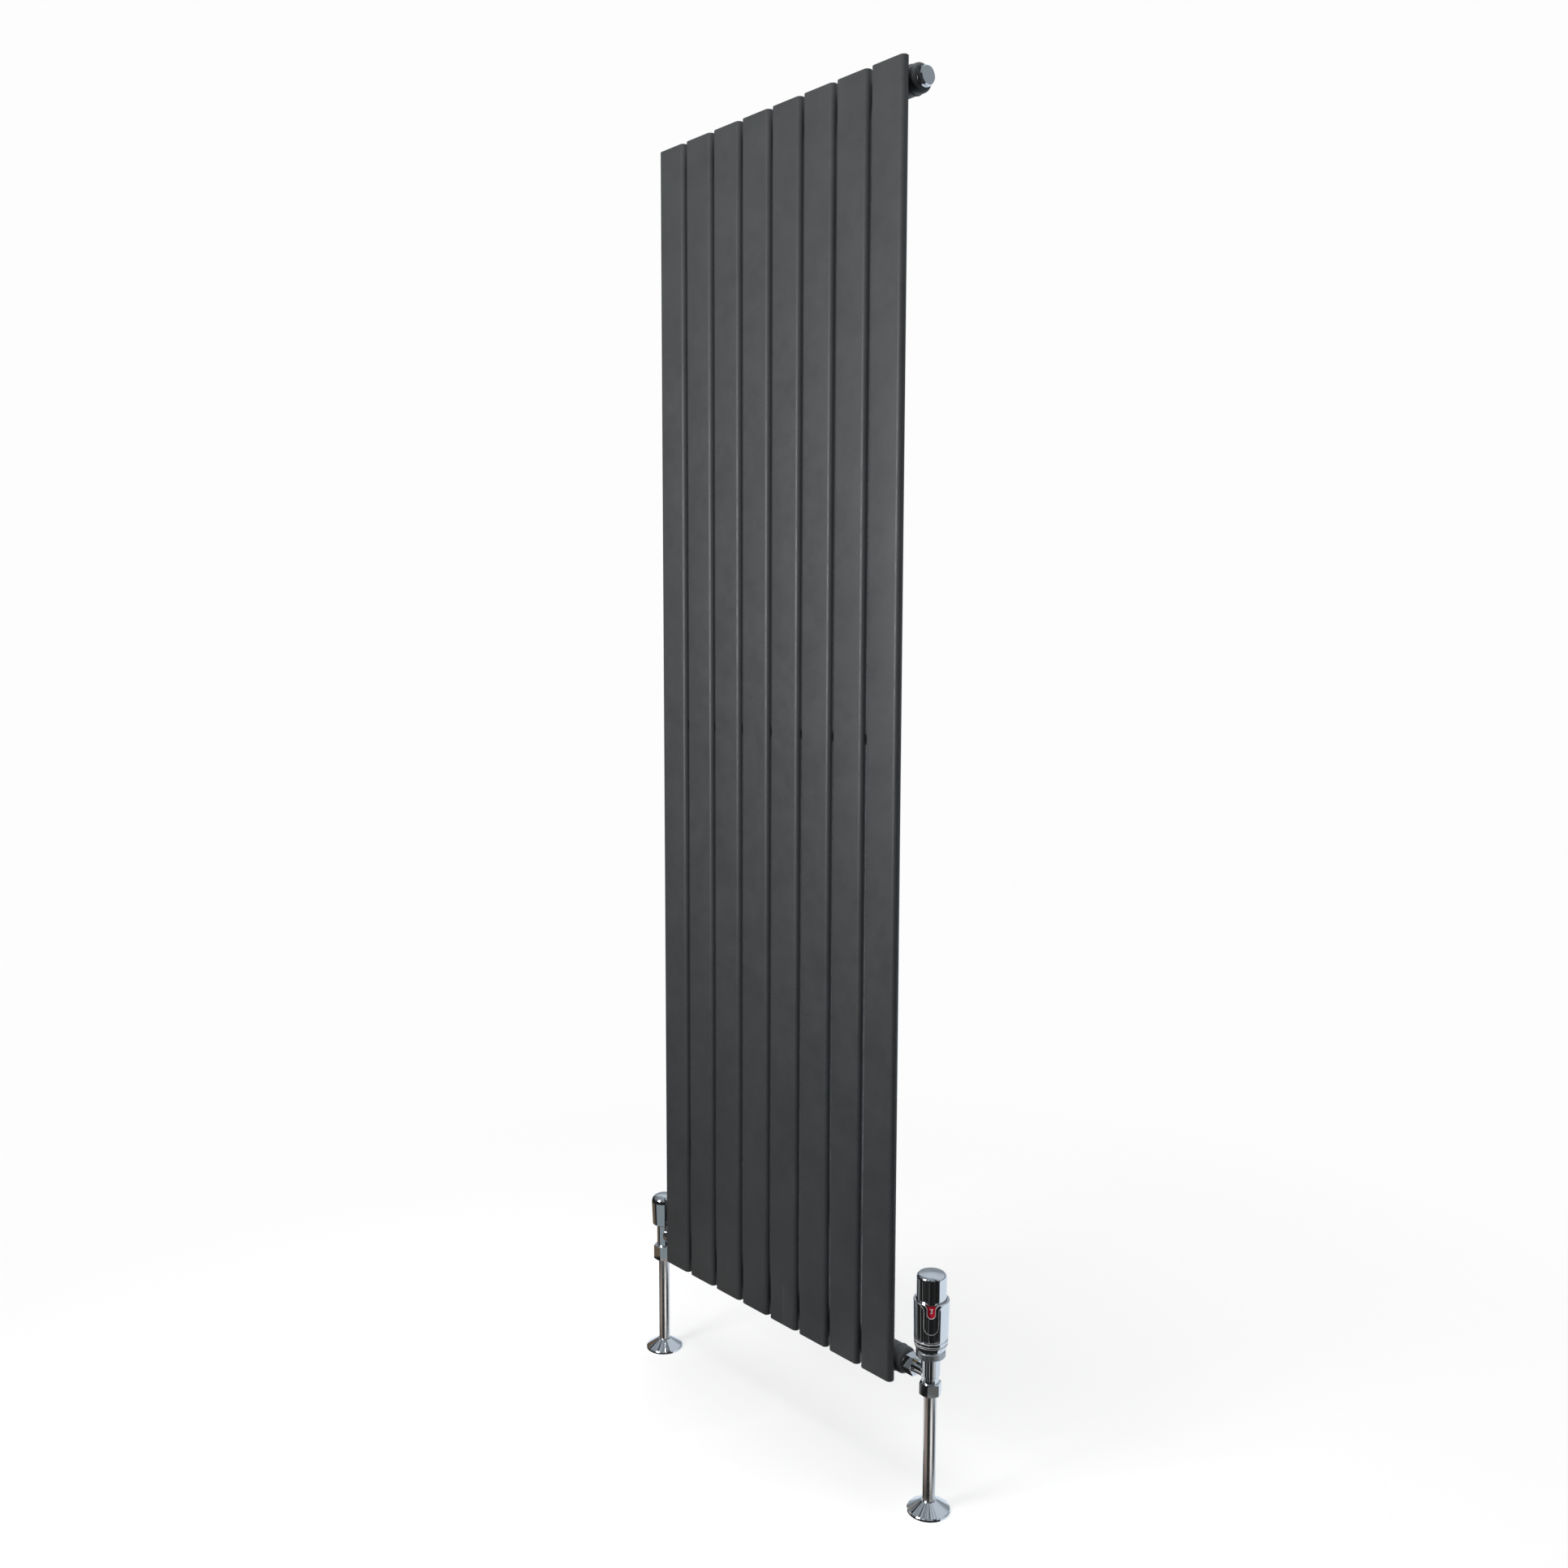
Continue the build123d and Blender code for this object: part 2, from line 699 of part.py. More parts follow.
# A compression spring between the insert's floor and the stem's collar.
SPRING_WIRE = 0.9
SPRING_RADIUS = 4.2
SPRING_TURNS = 4.5
spring_start = SPRING_SEAT + SPRING_WIRE / 2 + RUNNING
spring_pitch = (SPRING_TOP - SPRING_SEAT - SPRING_WIRE - 2 * RUNNING) / SPRING_TURNS
with BuildPart() as spring:
    with BuildLine(Plane(thermostatic.from_local_coords((0, spring_start, 0)))):
        coil = Helix(spring_pitch, spring_pitch * SPRING_TURNS, SPRING_RADIUS)
    with BuildSketch(Plane(origin=coil @ 0, z_dir=coil % 0)):
        Circle(SPRING_WIRE / 2)
    sweep(path=coil, is_frenet=True)
save(spring, "thermostatic_spring")

# The wax sensor, with the pin that pushes the stem.
PIN_RADIUS = 4.0
SENSOR_RADIUS = 11.0
SENSOR_LOW = 62.0
SENSOR_TOP = 116.0
SENSOR_TAPER = 4.0
turned(
    "thermostatic_sensor",
    thermostatic,
    thermostatic_axis,
    (
        (0, STEM_TOP),
        (PIN_RADIUS, STEM_TOP),
        (PIN_RADIUS, SENSOR_LOW - SENSOR_TAPER),
        (SENSOR_RADIUS, SENSOR_LOW),
        (SENSOR_RADIUS, SENSOR_TOP - SENSOR_TAPER / 2),
        (SENSOR_RADIUS - SENSOR_TAPER / 2, SENSOR_TOP),
        (0, SENSOR_TOP),
    ),
)

# The knurled ring that clamps the sensor head on the insert.
RING_RADIUS = 18.6
KNURLS = 60
KNURL_RADIUS = 0.5
KNURL_SHIFT = 0.15  # knurl centres outside the ring's surface
KNURL_TOP = RING_TOP - 3.4
RING_STEP = 0.9
RING_CHAMFER = (1.4, 1.8)
with BuildPart() as clamp_ring:
    revolve(
        outline(
            thermostatic,
            (
                (INSERT_FLANGE, RING_LOW),
                (RING_RADIUS - RING_CHAMFER[0], RING_LOW),
                (RING_RADIUS, RING_LOW + RING_CHAMFER[1]),
                (RING_RADIUS, KNURL_TOP),
                (RING_RADIUS - RING_STEP, KNURL_TOP + 1.0),
                (RING_RADIUS - RING_STEP, RING_TOP),
                (INSERT_FLANGE, RING_TOP),
            ),
        ),
        axis=thermostatic_axis,
    )
    with BuildSketch(Plane(thermostatic.from_local_coords((0, RING_LOW, 0)))):
        with PolarLocations(RING_RADIUS + KNURL_SHIFT, KNURLS):
            Circle(KNURL_RADIUS)
    extrude(amount=KNURL_TOP - RING_LOW, mode=Mode.SUBTRACT)
save(clamp_ring, "thermostatic_clamp_ring")

# The outer housing: a tapered shell with two grooves, a dial window and an engraved loop.
HOUSING_BORE = DIAL_RADIUS + FREE
WINDOW_HALF = 5.0
WINDOW_FLARE = 3.2
WINDOW_DEPTH = 16.4
LOOP_HALF = 9.6
LOOP_FLARE = 5.6
LOOP_DEPTH = 38.0
LOOP_WIDTH = 0.9
LOOP_SINK = 0.5
CUT_REACH = HOUSING_RIM + 5.0  # cutters run past the outside of the housing
BELLY = (22.2, 72.0)  # radius and height where the housing's taper changes
WAIST = (21.6, 49.2)  # above its upper groove
window_direction = (sin(radians(WINDOW_TURN)), -cos(radians(WINDOW_TURN)), 0)
window_plane = Plane(
    thermostatic.from_local_coords((0, HOUSING_TOP, 0)),
    x_dir=(cos(radians(WINDOW_TURN)), sin(radians(WINDOW_TURN)), 0),
    z_dir=window_direction,
)


def bell(half, flare, depth):
    """A U-shaped opening below the rim that widens towards it."""
    bend = depth - half
    flare_drop = 1.25 * flare + 2.0
    with BuildSketch(window_plane) as opening:
        with BuildLine():
            top = Line((half + flare, 1.0), (-half - flare, 1.0))
            left = Line(top @ 1, (-half - flare, -0.5))
            left_curve = Spline(
                left @ 1, (-half, -flare_drop), tangents=((0.8, -0.6), (0, -1))
            )
            left_side = Line(left_curve @ 1, (-half, -bend))
            foot = ThreePointArc(left_side @ 1, (0, -depth), (half, -bend))
            right_side = Line(foot @ 1, (half, -flare_drop))
            right_curve = Spline(
                right_side @ 1, (half + flare, -0.5), tangents=((0, 1), (0.8, 0.6))
            )
            Line(right_curve @ 1, top @ 0)
        make_face()
    return opening.sketch


housing_outside = (
    (19.0, RING_TOP),
    (20.9, 39.4),
    (20.9, 40.4),
    (20.2, 41.0),
    (20.2, 42.0),
    (21.35, 42.8),
    (21.35, 46.4),
    (20.5, 47.2),
    (20.5, 48.2),
    WAIST,
    BELLY,
    (HOUSING_RIM, HOUSING_TOP - 0.5),
    (HOUSING_RIM - 0.5, HOUSING_TOP),
)
housing_inside = (
    (HOUSING_BORE, HOUSING_TOP),
    (HOUSING_BORE, 62.0),
    (17.5, 60.0),
    (17.5, 38.0),
    (8.5, 38.0),
    (8.5, RING_TOP),
)
with BuildPart() as loop_cutter:
    extrude(bell(LOOP_HALF, LOOP_FLARE, LOOP_DEPTH), amount=CUT_REACH)
    extrude(
        bell(LOOP_HALF - LOOP_WIDTH, LOOP_FLARE, LOOP_DEPTH - LOOP_WIDTH),
        amount=CUT_REACH,
        mode=Mode.SUBTRACT,
    )
    kept_skin = (
        (0, WAIST[1]),
        (WAIST[0] - LOOP_SINK, WAIST[1]),
        (BELLY[0] - LOOP_SINK, BELLY[1]),
        (HOUSING_RIM - LOOP_SINK, HOUSING_TOP),
        (HOUSING_RIM - LOOP_SINK, HOUSING_TOP + LOOP_FLARE),
        (0, HOUSING_TOP + LOOP_FLARE),
    )
    revolve(outline(thermostatic, kept_skin), axis=thermostatic_axis, mode=Mode.SUBTRACT)

with BuildPart() as housing:
    revolve(outline(thermostatic, (*housing_outside, *housing_inside)), axis=thermostatic_axis)
    extrude(
        bell(WINDOW_HALF, WINDOW_FLARE, WINDOW_DEPTH),
        amount=CUT_REACH,
        mode=Mode.SUBTRACT,
    )
    add(loop_cutter.part, mode=Mode.SUBTRACT)
save(housing, "thermostatic_housing")

KNOB_FOOT = HOUSING_TOP - 1.0  # the knob dips into the rim and hides the dial's edge
KNOB_SHOULDER = 5.0
SKIRT_RADIUS = 17.0
SKIRT_BORE = 15.5
CROWN_WALL = 3.0
KNOB_CROWN = KNOB_TOP - 1.2
with BuildPart() as knob:
    with BuildSketch(thermostatic):
        with BuildLine():
            wall = Polyline(
                (SKIRT_BORE, DIAL_LOW),
                (SKIRT_RADIUS, DIAL_LOW),
                (SKIRT_RADIUS, KNOB_FOOT),
                (KNOB_RADIUS, KNOB_FOOT),
                (KNOB_RADIUS, KNOB_CROWN - KNOB_SHOULDER),
            )
            shoulder = RadiusArc(
                wall @ 1, (KNOB_RADIUS - KNOB_SHOULDER, KNOB_CROWN), -KNOB_SHOULDER
            )
            crown = Spline(
                shoulder @ 1, (0, KNOB_TOP), tangents=((-1, 0.12), (-1, 0))
            )
            Polyline(
                crown @ 1,
                (0, KNOB_TOP - CROWN_WALL),
                (SKIRT_BORE - CROWN_WALL, KNOB_TOP - CROWN_WALL - 1.0),
                (SKIRT_BORE, KNOB_TOP - 2 * CROWN_WALL - 1.0),
                (SKIRT_BORE, DIAL_LOW),
            )
        make_face()
    revolve(axis=thermostatic_axis)
save(knob, "thermostatic_knob")
ring("thermostatic_dial", thermostatic, SKIRT_RADIUS, DIAL_RADIUS, DIAL_LOW, KNOB_FOOT)

# ---- lockshield valve ---------------------------------------------------------------
L_NUT = (-38.5, -17.0)
L_NUT_FLATS = 27.0
L_STUB = L_NUT[0] + NUT_FLOOR + OLIVE_LENGTH
L_BODY_RADIUS = 10.4
L_SEAT = -11.5
L_CHAMBER = 7.5
L_TOP = 24.0
GLAND_FOOT = 10.0
GLAND_RADIUS = 8.0
GLAND_HEAD = (9.0, 27.0)  # radius and top of the gland's head
SPINDLE_RADIUS = 3.0
SPINDLE_TOP = 38.0
PLUG_RADIUS = 6.5
PLUG_ENDS = (-8.0, 4.0)
PLUG_HOLE = -6.0
SCREW_RADIUS = 2.5
SCREW_END = -2.0
THRUST_COLLAR = 2.0  # keeps the spindle from rising
SQUARE = (4.2, 8.0)  # across the flats and length of the spindle's key square
PLUG_EDGE = 1.5
SEAL_GROOVE = (14.0, 15.8)
SEAL_RADIUS = 4.5

lockshield = valve_section(-1)
lockshield_axis = upright(lockshield)

valve_fittings("lockshield", -1, *L_NUT, L_NUT_FLATS)
valve_body(
    "lockshield_body",
    -1,
    (
        (PIPE_RADIUS, L_STUB),
        (PIPE_RADIUS, L_STUB + SOCKET_LENGTH),
        (SEAT_BORE, L_STUB + SOCKET_LENGTH),
        (SEAT_BORE, L_SEAT),
        (L_CHAMBER, L_SEAT),
        (L_CHAMBER, GLAND_FOOT),
        (GLAND_RADIUS, GLAND_FOOT),
        (GLAND_RADIUS, L_TOP),
        (L_BODY_RADIUS, L_TOP),
        (L_BODY_RADIUS, L_NUT[1]),
        (STUB_RADIUS, L_NUT[1]),
        (STUB_RADIUS, L_STUB),
    ),
    L_CHAMBER,
)
turned(
    "lockshield_gland",
    lockshield,
    lockshield_axis,
    (
        (SPINDLE_RADIUS + RUNNING, GLAND_FOOT),
        (GLAND_RADIUS, GLAND_FOOT),
        (GLAND_RADIUS, L_TOP),
        (GLAND_HEAD[0], L_TOP),
        (GLAND_HEAD[0], GLAND_HEAD[1]),
        (SPINDLE_RADIUS + RUNNING, GLAND_HEAD[1]),
        (SPINDLE_RADIUS + RUNNING, SEAL_GROOVE[1]),
        (SEAL_RADIUS, SEAL_GROOVE[1]),
        (SEAL_RADIUS, SEAL_GROOVE[0]),
        (SPINDLE_RADIUS + RUNNING, SEAL_GROOVE[0]),
    ),
)
ring("lockshield_spindle_seal", lockshield, SPINDLE_RADIUS + RUNNING, SEAL_RADIUS, *SEAL_GROOVE)
with BuildPart() as spindle:
    revolve(
        outline(
            lockshield,
            (
                (0, SCREW_END),
                (SCREW_RADIUS, SCREW_END),
                (SCREW_RADIUS, GLAND_FOOT - THRUST_COLLAR),
                (SEAL_RADIUS, GLAND_FOOT - THRUST_COLLAR),
                (SEAL_RADIUS, GLAND_FOOT - CONTACT),
                (SPINDLE_RADIUS, GLAND_FOOT - CONTACT),
                (SPINDLE_RADIUS, SPINDLE_TOP - SQUARE[1]),
                (0, SPINDLE_TOP - SQUARE[1]),
            ),
        ),
        axis=lockshield_axis,
    )
    with BuildSketch(Plane(lockshield.from_local_coords((0, SPINDLE_TOP - SQUARE[1], 0)))):
        Rectangle(SQUARE[0], SQUARE[0])
    extrude(amount=SQUARE[1])
save(spindle, "lockshield_spindle")
turned(
    "lockshield_plug",
    lockshield,
    lockshield_axis,
    (
        (0, PLUG_ENDS[0]),
        (PLUG_RADIUS - PLUG_EDGE, PLUG_ENDS[0]),
        (PLUG_RADIUS, PLUG_ENDS[0] + PLUG_EDGE),
        (PLUG_RADIUS, PLUG_ENDS[1]),
        (SCREW_RADIUS + RUNNING, PLUG_ENDS[1]),
        (SCREW_RADIUS + RUNNING, PLUG_HOLE),
        (0, PLUG_HOLE),
    ),
)

# The lift-off cap: a tapered shell with a domed top and an inward foot round the body.
CAP_LOW = 15.2
CAP_TOP = 63.7
CAP_DOME = 52.0
CAP_RADIUS = (17.0, 18.3)  # at the foot and below the dome
CAP_WALL = 1.8
CAP_FOOT = (12.5, 2.6)  # radius of the flat foot and height of the flare above it
with BuildPart() as cap:
    with BuildSketch(lockshield):
        with BuildLine():
            side_wall = Polyline(
                (L_BODY_RADIUS + FREE, CAP_LOW),
                (CAP_FOOT[0], CAP_LOW),
                (CAP_RADIUS[0], CAP_LOW + CAP_FOOT[1]),
                (CAP_RADIUS[1], CAP_DOME),
            )
            dome = Spline(side_wall @ 1, (0, CAP_TOP), tangents=((0, 1), (-1, 0)))
            Polyline(
                dome @ 1,
                (0, CAP_TOP - CAP_WALL),
                (CAP_RADIUS[1] * 0.55, CAP_TOP - 1.6 * CAP_WALL),
                (CAP_RADIUS[1] - CAP_WALL, CAP_DOME),
                (CAP_RADIUS[0] - CAP_WALL, CAP_LOW + 4.0),
                (L_BODY_RADIUS + FREE, CAP_LOW + 3.0),
                (L_BODY_RADIUS + FREE, CAP_LOW),
            )
        make_face()
    revolve(axis=lockshield_axis)
save(cap, "lockshield_cap")
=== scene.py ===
import json
from math import cos, pi, radians, sin, tau

import bmesh
import bpy
from mathutils import Matrix, Vector


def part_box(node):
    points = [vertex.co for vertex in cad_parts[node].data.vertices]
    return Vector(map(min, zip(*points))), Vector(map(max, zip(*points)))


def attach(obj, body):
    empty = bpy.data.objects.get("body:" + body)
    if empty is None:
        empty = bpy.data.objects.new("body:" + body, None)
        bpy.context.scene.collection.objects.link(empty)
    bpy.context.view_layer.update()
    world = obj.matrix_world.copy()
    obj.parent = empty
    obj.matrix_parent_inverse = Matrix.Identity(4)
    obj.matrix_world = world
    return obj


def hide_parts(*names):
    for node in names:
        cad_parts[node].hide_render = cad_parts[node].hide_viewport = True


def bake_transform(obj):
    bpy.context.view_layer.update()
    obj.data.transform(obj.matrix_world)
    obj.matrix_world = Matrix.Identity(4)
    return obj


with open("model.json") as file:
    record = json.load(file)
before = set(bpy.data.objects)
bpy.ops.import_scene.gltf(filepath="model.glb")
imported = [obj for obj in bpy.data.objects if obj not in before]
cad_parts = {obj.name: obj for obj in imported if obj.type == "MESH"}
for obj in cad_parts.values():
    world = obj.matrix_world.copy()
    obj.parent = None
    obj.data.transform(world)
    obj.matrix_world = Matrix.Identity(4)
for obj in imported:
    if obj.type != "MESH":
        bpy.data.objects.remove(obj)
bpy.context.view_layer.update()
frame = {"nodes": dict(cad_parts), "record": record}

# Everything is in metres, in the frame of the CAD model: +Z up, +X towards the
# thermostatic valve, +Y into the wall, the origin on the wall's face.
MM = 0.001
RADIATOR = "radiator"
AXIS_X, AXIS_Y, AXIS_Z = Vector((1, 0, 0)), Vector((0, 1, 0)), Vector((0, 0, 1))
NODES = frame["nodes"]
scene = bpy.context.scene


def middle(node):
    """The middle of a CAD node's box."""
    low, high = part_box(node)
    return (low + high) / 2


def extent(node):
    """The size of a CAD node's box."""
    low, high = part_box(node)
    return high - low


# ---- camera -------------------------------------------------------------------------
LENS = 33.44
EYE = (1.461, -1.3224, 0.1436)
YAW, PITCH, ROLL = 0.853, -0.1058, 0.0027

camera = bpy.data.objects.new("camera", bpy.data.cameras.new("camera"))
scene.collection.objects.link(camera)
camera.data.lens = LENS
camera.data.sensor_width = 36.0
camera.location = EYE
camera.matrix_world = (
    Matrix.Translation(EYE)
    @ Matrix.Rotation(YAW, 4, "Z")
    @ Matrix.Rotation(pi / 2 + PITCH, 4, "X")
    @ Matrix.Rotation(ROLL, 4, "Z")
)
scene.camera = camera

# ---- studio -------------------------------------------------------------------------
FLOOR_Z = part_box("thermostatic_floor_collar")[0].z
BACKDROP = (0.98, 0.98, 0.98, 1.0)
AMBIENT = (0.05, 0.05, 0.052, 1.0)
SCREEN = (0.74, 0.83, 0.92)
FLOOR_RADIUS = 6.0
FLOOR_GREY = (0.88, 0.88, 0.88, 1.0)
FLOOR_FADE = ((0.05, 0.55), (0.25, 1.0))

# The upright cards that polished metal reflects stand on a circle round a pipe. Each band
# has its lowest and highest point, and each card its first and last azimuth in degrees.
CARD_RADIUS = 0.25
CARD_STEPS = 12
PIPE_BAND = (FLOOR_Z - 0.108, FLOOR_Z + 0.02)
NUT_BAND = (FLOOR_Z + 0.021, FLOOR_Z + 0.045)
BODY_BAND = (FLOOR_Z + 0.046, FLOOR_Z + 0.099)
HEAD_BAND = (FLOOR_Z + 0.10, FLOOR_Z + 0.22)
CAP_BAND = (FLOOR_Z + 0.04, FLOOR_Z + 0.14)
PIPE_CARDS = (
    ("warm", -150, -88, (0.34, 0.28, 0.25)),
    ("white", -34, 2, (1.2, 1.2, 1.2)),
    ("dark", 14, 60, (0.03, 0.03, 0.03)),
)
CAP_CARDS = (
    ("warm", -216, -134, (0.14, 0.105, 0.075)),
    ("cool", -112, -20, (0.24, 0.29, 0.31)),
)
BODY_TINT = (0.92, 0.97, 1.0)
BODY_CARDS = (
    (-158, -118, 0.55),
    (-96, -86, 0.16),
    (-62, -54, 0.34),
    (-26, -8, 0.26),
    (-8, 14, 0.6),
)
NUT_TINT = (0.95, 1.0, 0.96)
NUT_CARDS = (
    (-150, -132, 0.20),
    (-124, -116, 0.45),
    (-24, -8, 0.13),
)
HEAD_TINT = (1.0, 0.98, 0.96)
HEAD_CARDS = (
    (-186, -172, 0.25),
    (-150, -141, 0.10),
    (-118, -114, 0.22),
    (-98, -95, 0.07),
    (-66, -64, 0.16),
)
scene.view_settings.view_transform = "Standard"


def node(tree, kind, **inputs):
    """A new shader node with its inputs set by name (underscores stand for spaces)."""
    made = tree.nodes.new(kind)
    for key, value in inputs.items():
        made.inputs[key.replace("_", " ")].default_value = value
    return made


def maths(tree, operation, first, second=None):
    """A maths node fed by sockets or numbers; returns its output."""
    made = tree.nodes.new("ShaderNodeMath")
    made.operation = operation
    for socket, value in zip(made.inputs, (first, second)):
        if value is None:
            continue
        if isinstance(value, (int, float)):
            socket.default_value = value
        else:
            tree.links.new(value, socket)
    return made.outputs[0]


def ramp(tree, factor, stops):
    """A colour ramp from (position, colour or grey) stops; returns its output."""
    made = tree.nodes.new("ShaderNodeValToRGB")
    elements = made.color_ramp.elements
    while len(elements) < len(stops):
        elements.new(0.5)
    for element, (position, value) in zip(elements, stops):
        element.position = position
        grey = isinstance(value, (int, float))
        element.color = (value, value, value, 1.0) if grey else (*value, 1.0)
    tree.links.new(factor, made.inputs["Fac"])
    return made.outputs["Color"]


def studio_world():
    """Surroundings: pale to the camera, dim to matt surfaces, and for reflections a dark
    studio with faint upright streaks in front and a broad pale screen behind and above.
    """
    world = bpy.data.worlds.new("studio")
    scene.world = world
    world.use_nodes = True
    tree = world.node_tree
    tree.nodes.clear()
    direction = tree.nodes.new("ShaderNodeTexCoord").outputs["Generated"]
    parts = tree.nodes.new("ShaderNodeSeparateXYZ")
    tree.links.new(direction, parts.inputs[0])
    azimuth = maths(tree, "ARCTAN2", parts.outputs["Y"], parts.outputs["X"])

    streaks = node(tree, "ShaderNodeTexNoise", Scale=9.0, Detail=4.0, Roughness=0.7)
    streaks.noise_dimensions = "1D"
    tree.links.new(azimuth, streaks.inputs["W"])
    dark_stops = (
        (0.38, (0.004, 0.004, 0.005)),
        (0.55, (0.016, 0.017, 0.016)),
        (0.72, (0.10, 0.10, 0.11)),
    )
    dark = ramp(tree, streaks.outputs["Fac"], dark_stops)
    behind = maths(tree, "MULTIPLY_ADD", parts.outputs["Y"], 0.5)
    behind.node.inputs[2].default_value = 0.5
    above = maths(tree, "MULTIPLY_ADD", parts.outputs["Z"], 0.5)
    above.node.inputs[2].default_value = 0.5
    wall = ramp(tree, behind, ((0.62, 0.0), (0.64, 1.0)))
    level_stops = ((0.52, 1.0), (0.56, 0.36), (0.69, 0.36), (0.74, 0.62), (0.80, 0.75))
    level = ramp(tree, above, level_stops)
    ceiling = ramp(tree, above, ((0.60, 0.0), (0.68, 0.35), (0.86, 0.7), (1.0, 0.8)))
    spokes = node(tree, "ShaderNodeTexNoise", Scale=2.6, Detail=3.0, Roughness=0.6)
    spokes.noise_dimensions = "1D"
    tree.links.new(azimuth, spokes.inputs["W"])
    fan_stops = ((0.44, 0.05), (0.49, 0.5), (0.53, 0.6), (0.60, 1.0))
    fan = ramp(tree, spokes.outputs["Fac"], fan_stops)
    ceiling = maths(tree, "MULTIPLY", ceiling, fan)
    screen = maths(tree, "MAXIMUM", maths(tree, "MULTIPLY", wall, level), ceiling)
    reflected = node(tree, "ShaderNodeMix")
    reflected.data_type = "RGBA"
    reflected.inputs[7].default_value = (*SCREEN, 1.0)
    tree.links.new(screen, reflected.inputs[0])
    tree.links.new(dark, reflected.inputs[6])

    rays = tree.nodes.new("ShaderNodeLightPath")
    layers = (
        (None, node(tree, "ShaderNodeBackground", Color=AMBIENT)),
        ("Is Glossy Ray", tree.nodes.new("ShaderNodeBackground")),
        ("Is Camera Ray", node(tree, "ShaderNodeBackground", Color=BACKDROP)),
    )
    tree.links.new(reflected.outputs[2], layers[1][1].inputs["Color"])
    top = layers[0][1].outputs[0]
    for ray, background in layers[1:]:
        mix = tree.nodes.new("ShaderNodeMixShader")
        tree.links.new(rays.outputs[ray], mix.inputs["Fac"])
        tree.links.new(top, mix.inputs[1])
        tree.links.new(background.outputs[0], mix.inputs[2])
        top = mix.outputs[0]
    out = tree.nodes.new("ShaderNodeOutputWorld")
    tree.links.new(top, out.inputs["Surface"])


def softbox(name, place, aim, size, power):
    """A rectangular studio light that points at a place."""
    data = bpy.data.lights.new(name, "AREA")
    data.shape = "RECTANGLE"
    data.size, data.size_y = size
    data.energy = power
    light = bpy.data.objects.new(name, data)
    scene.collection.objects.link(light)
    light.location = place
    light.rotation_euler = (Vector(aim) - Vector(place)).to_track_quat("-Z", "Y").to_euler()
    return light


def studio_floor():
    """A plain pale floor that fades into the backdrop far from the radiator."""
    mesh = bpy.data.meshes.new("floor")
    bm = bmesh.new()
    bmesh.ops.create_circle(bm, cap_ends=True, segments=64, radius=FLOOR_RADIUS)
    bm.to_mesh(mesh)
    bm.free()
    floor = bpy.data.objects.new("floor", mesh)
    floor.location.z = FLOOR_Z
    scene.collection.objects.link(floor)
    floor.visible_glossy = floor.visible_diffuse = False
    material = bpy.data.materials.new("studio_floor")
    material.use_nodes = True
    tree = material.node_tree
    shader = tree.nodes["Principled BSDF"]
    shader.inputs["Base Color"].default_value = FLOOR_GREY
    shader.inputs["Roughness"].default_value = 0.6
    place = tree.nodes.new("ShaderNodeTexCoord").outputs["Object"]
    length = tree.nodes.new("ShaderNodeVectorMath")
    length.operation = "LENGTH"
    tree.links.new(place, length.inputs[0])
    far = maths(tree, "DIVIDE", length.outputs["Value"], FLOOR_RADIUS)
    fade = ramp(tree, far, FLOOR_FADE)
    clear = tree.nodes.new("ShaderNodeBsdfTransparent")
    mix = tree.nodes.new("ShaderNodeMixShader")
    tree.links.new(fade, mix.inputs["Fac"])
    tree.links.new(shader.outputs[0], mix.inputs[1])
    tree.links.new(clear.outputs[0], mix.inputs[2])
    tree.links.new(mix.outputs[0], tree.nodes["Material Output"].inputs["Surface"])
    mesh.materials.append(material)


def reflector(name, pipe, start, end, band, color):
    """An upright curved card round a pipe that only polished surfaces see."""
    mesh = bpy.data.meshes.new(name)
    axis = middle(pipe)
    bm = bmesh.new()
    columns = []
    for i in range(CARD_STEPS + 1):
        turn = radians(start + (end - start) * i / CARD_STEPS)
        x, y = axis.x + CARD_RADIUS * cos(turn), axis.y + CARD_RADIUS * sin(turn)
        columns.append([bm.verts.new((x, y, z)) for z in band])
    for one, two in zip(columns, columns[1:]):
        bm.faces.new((one[0], two[0], two[1], one[1]))
    bm.to_mesh(mesh)
    bm.free()
    card = bpy.data.objects.new(name, mesh)
    scene.collection.objects.link(card)
    glow = bpy.data.materials.new(name)
    glow.use_nodes = True
    glow.node_tree.nodes.clear()
    light = node(glow.node_tree, "ShaderNodeEmission", Color=(*color, 1.0))
    out = glow.node_tree.nodes.new("ShaderNodeOutputMaterial")
    glow.node_tree.links.new(light.outputs[0], out.inputs["Surface"])
    glow.cycles.emission_sampling = "NONE"
    mesh.materials.append(glow)
    card.visible_camera = card.visible_diffuse = card.visible_shadow = False


def reflector_row(name, band, tint, cards):
    """Numbered cards round the thermostatic pipe, each a tint at its own grey."""
    for index, (start, end, grey) in enumerate(cards):
        color = [grey * channel for channel in tint]
        reflector(f"{name}_card_{index}", "thermostatic_pipe", start, end, band, color)


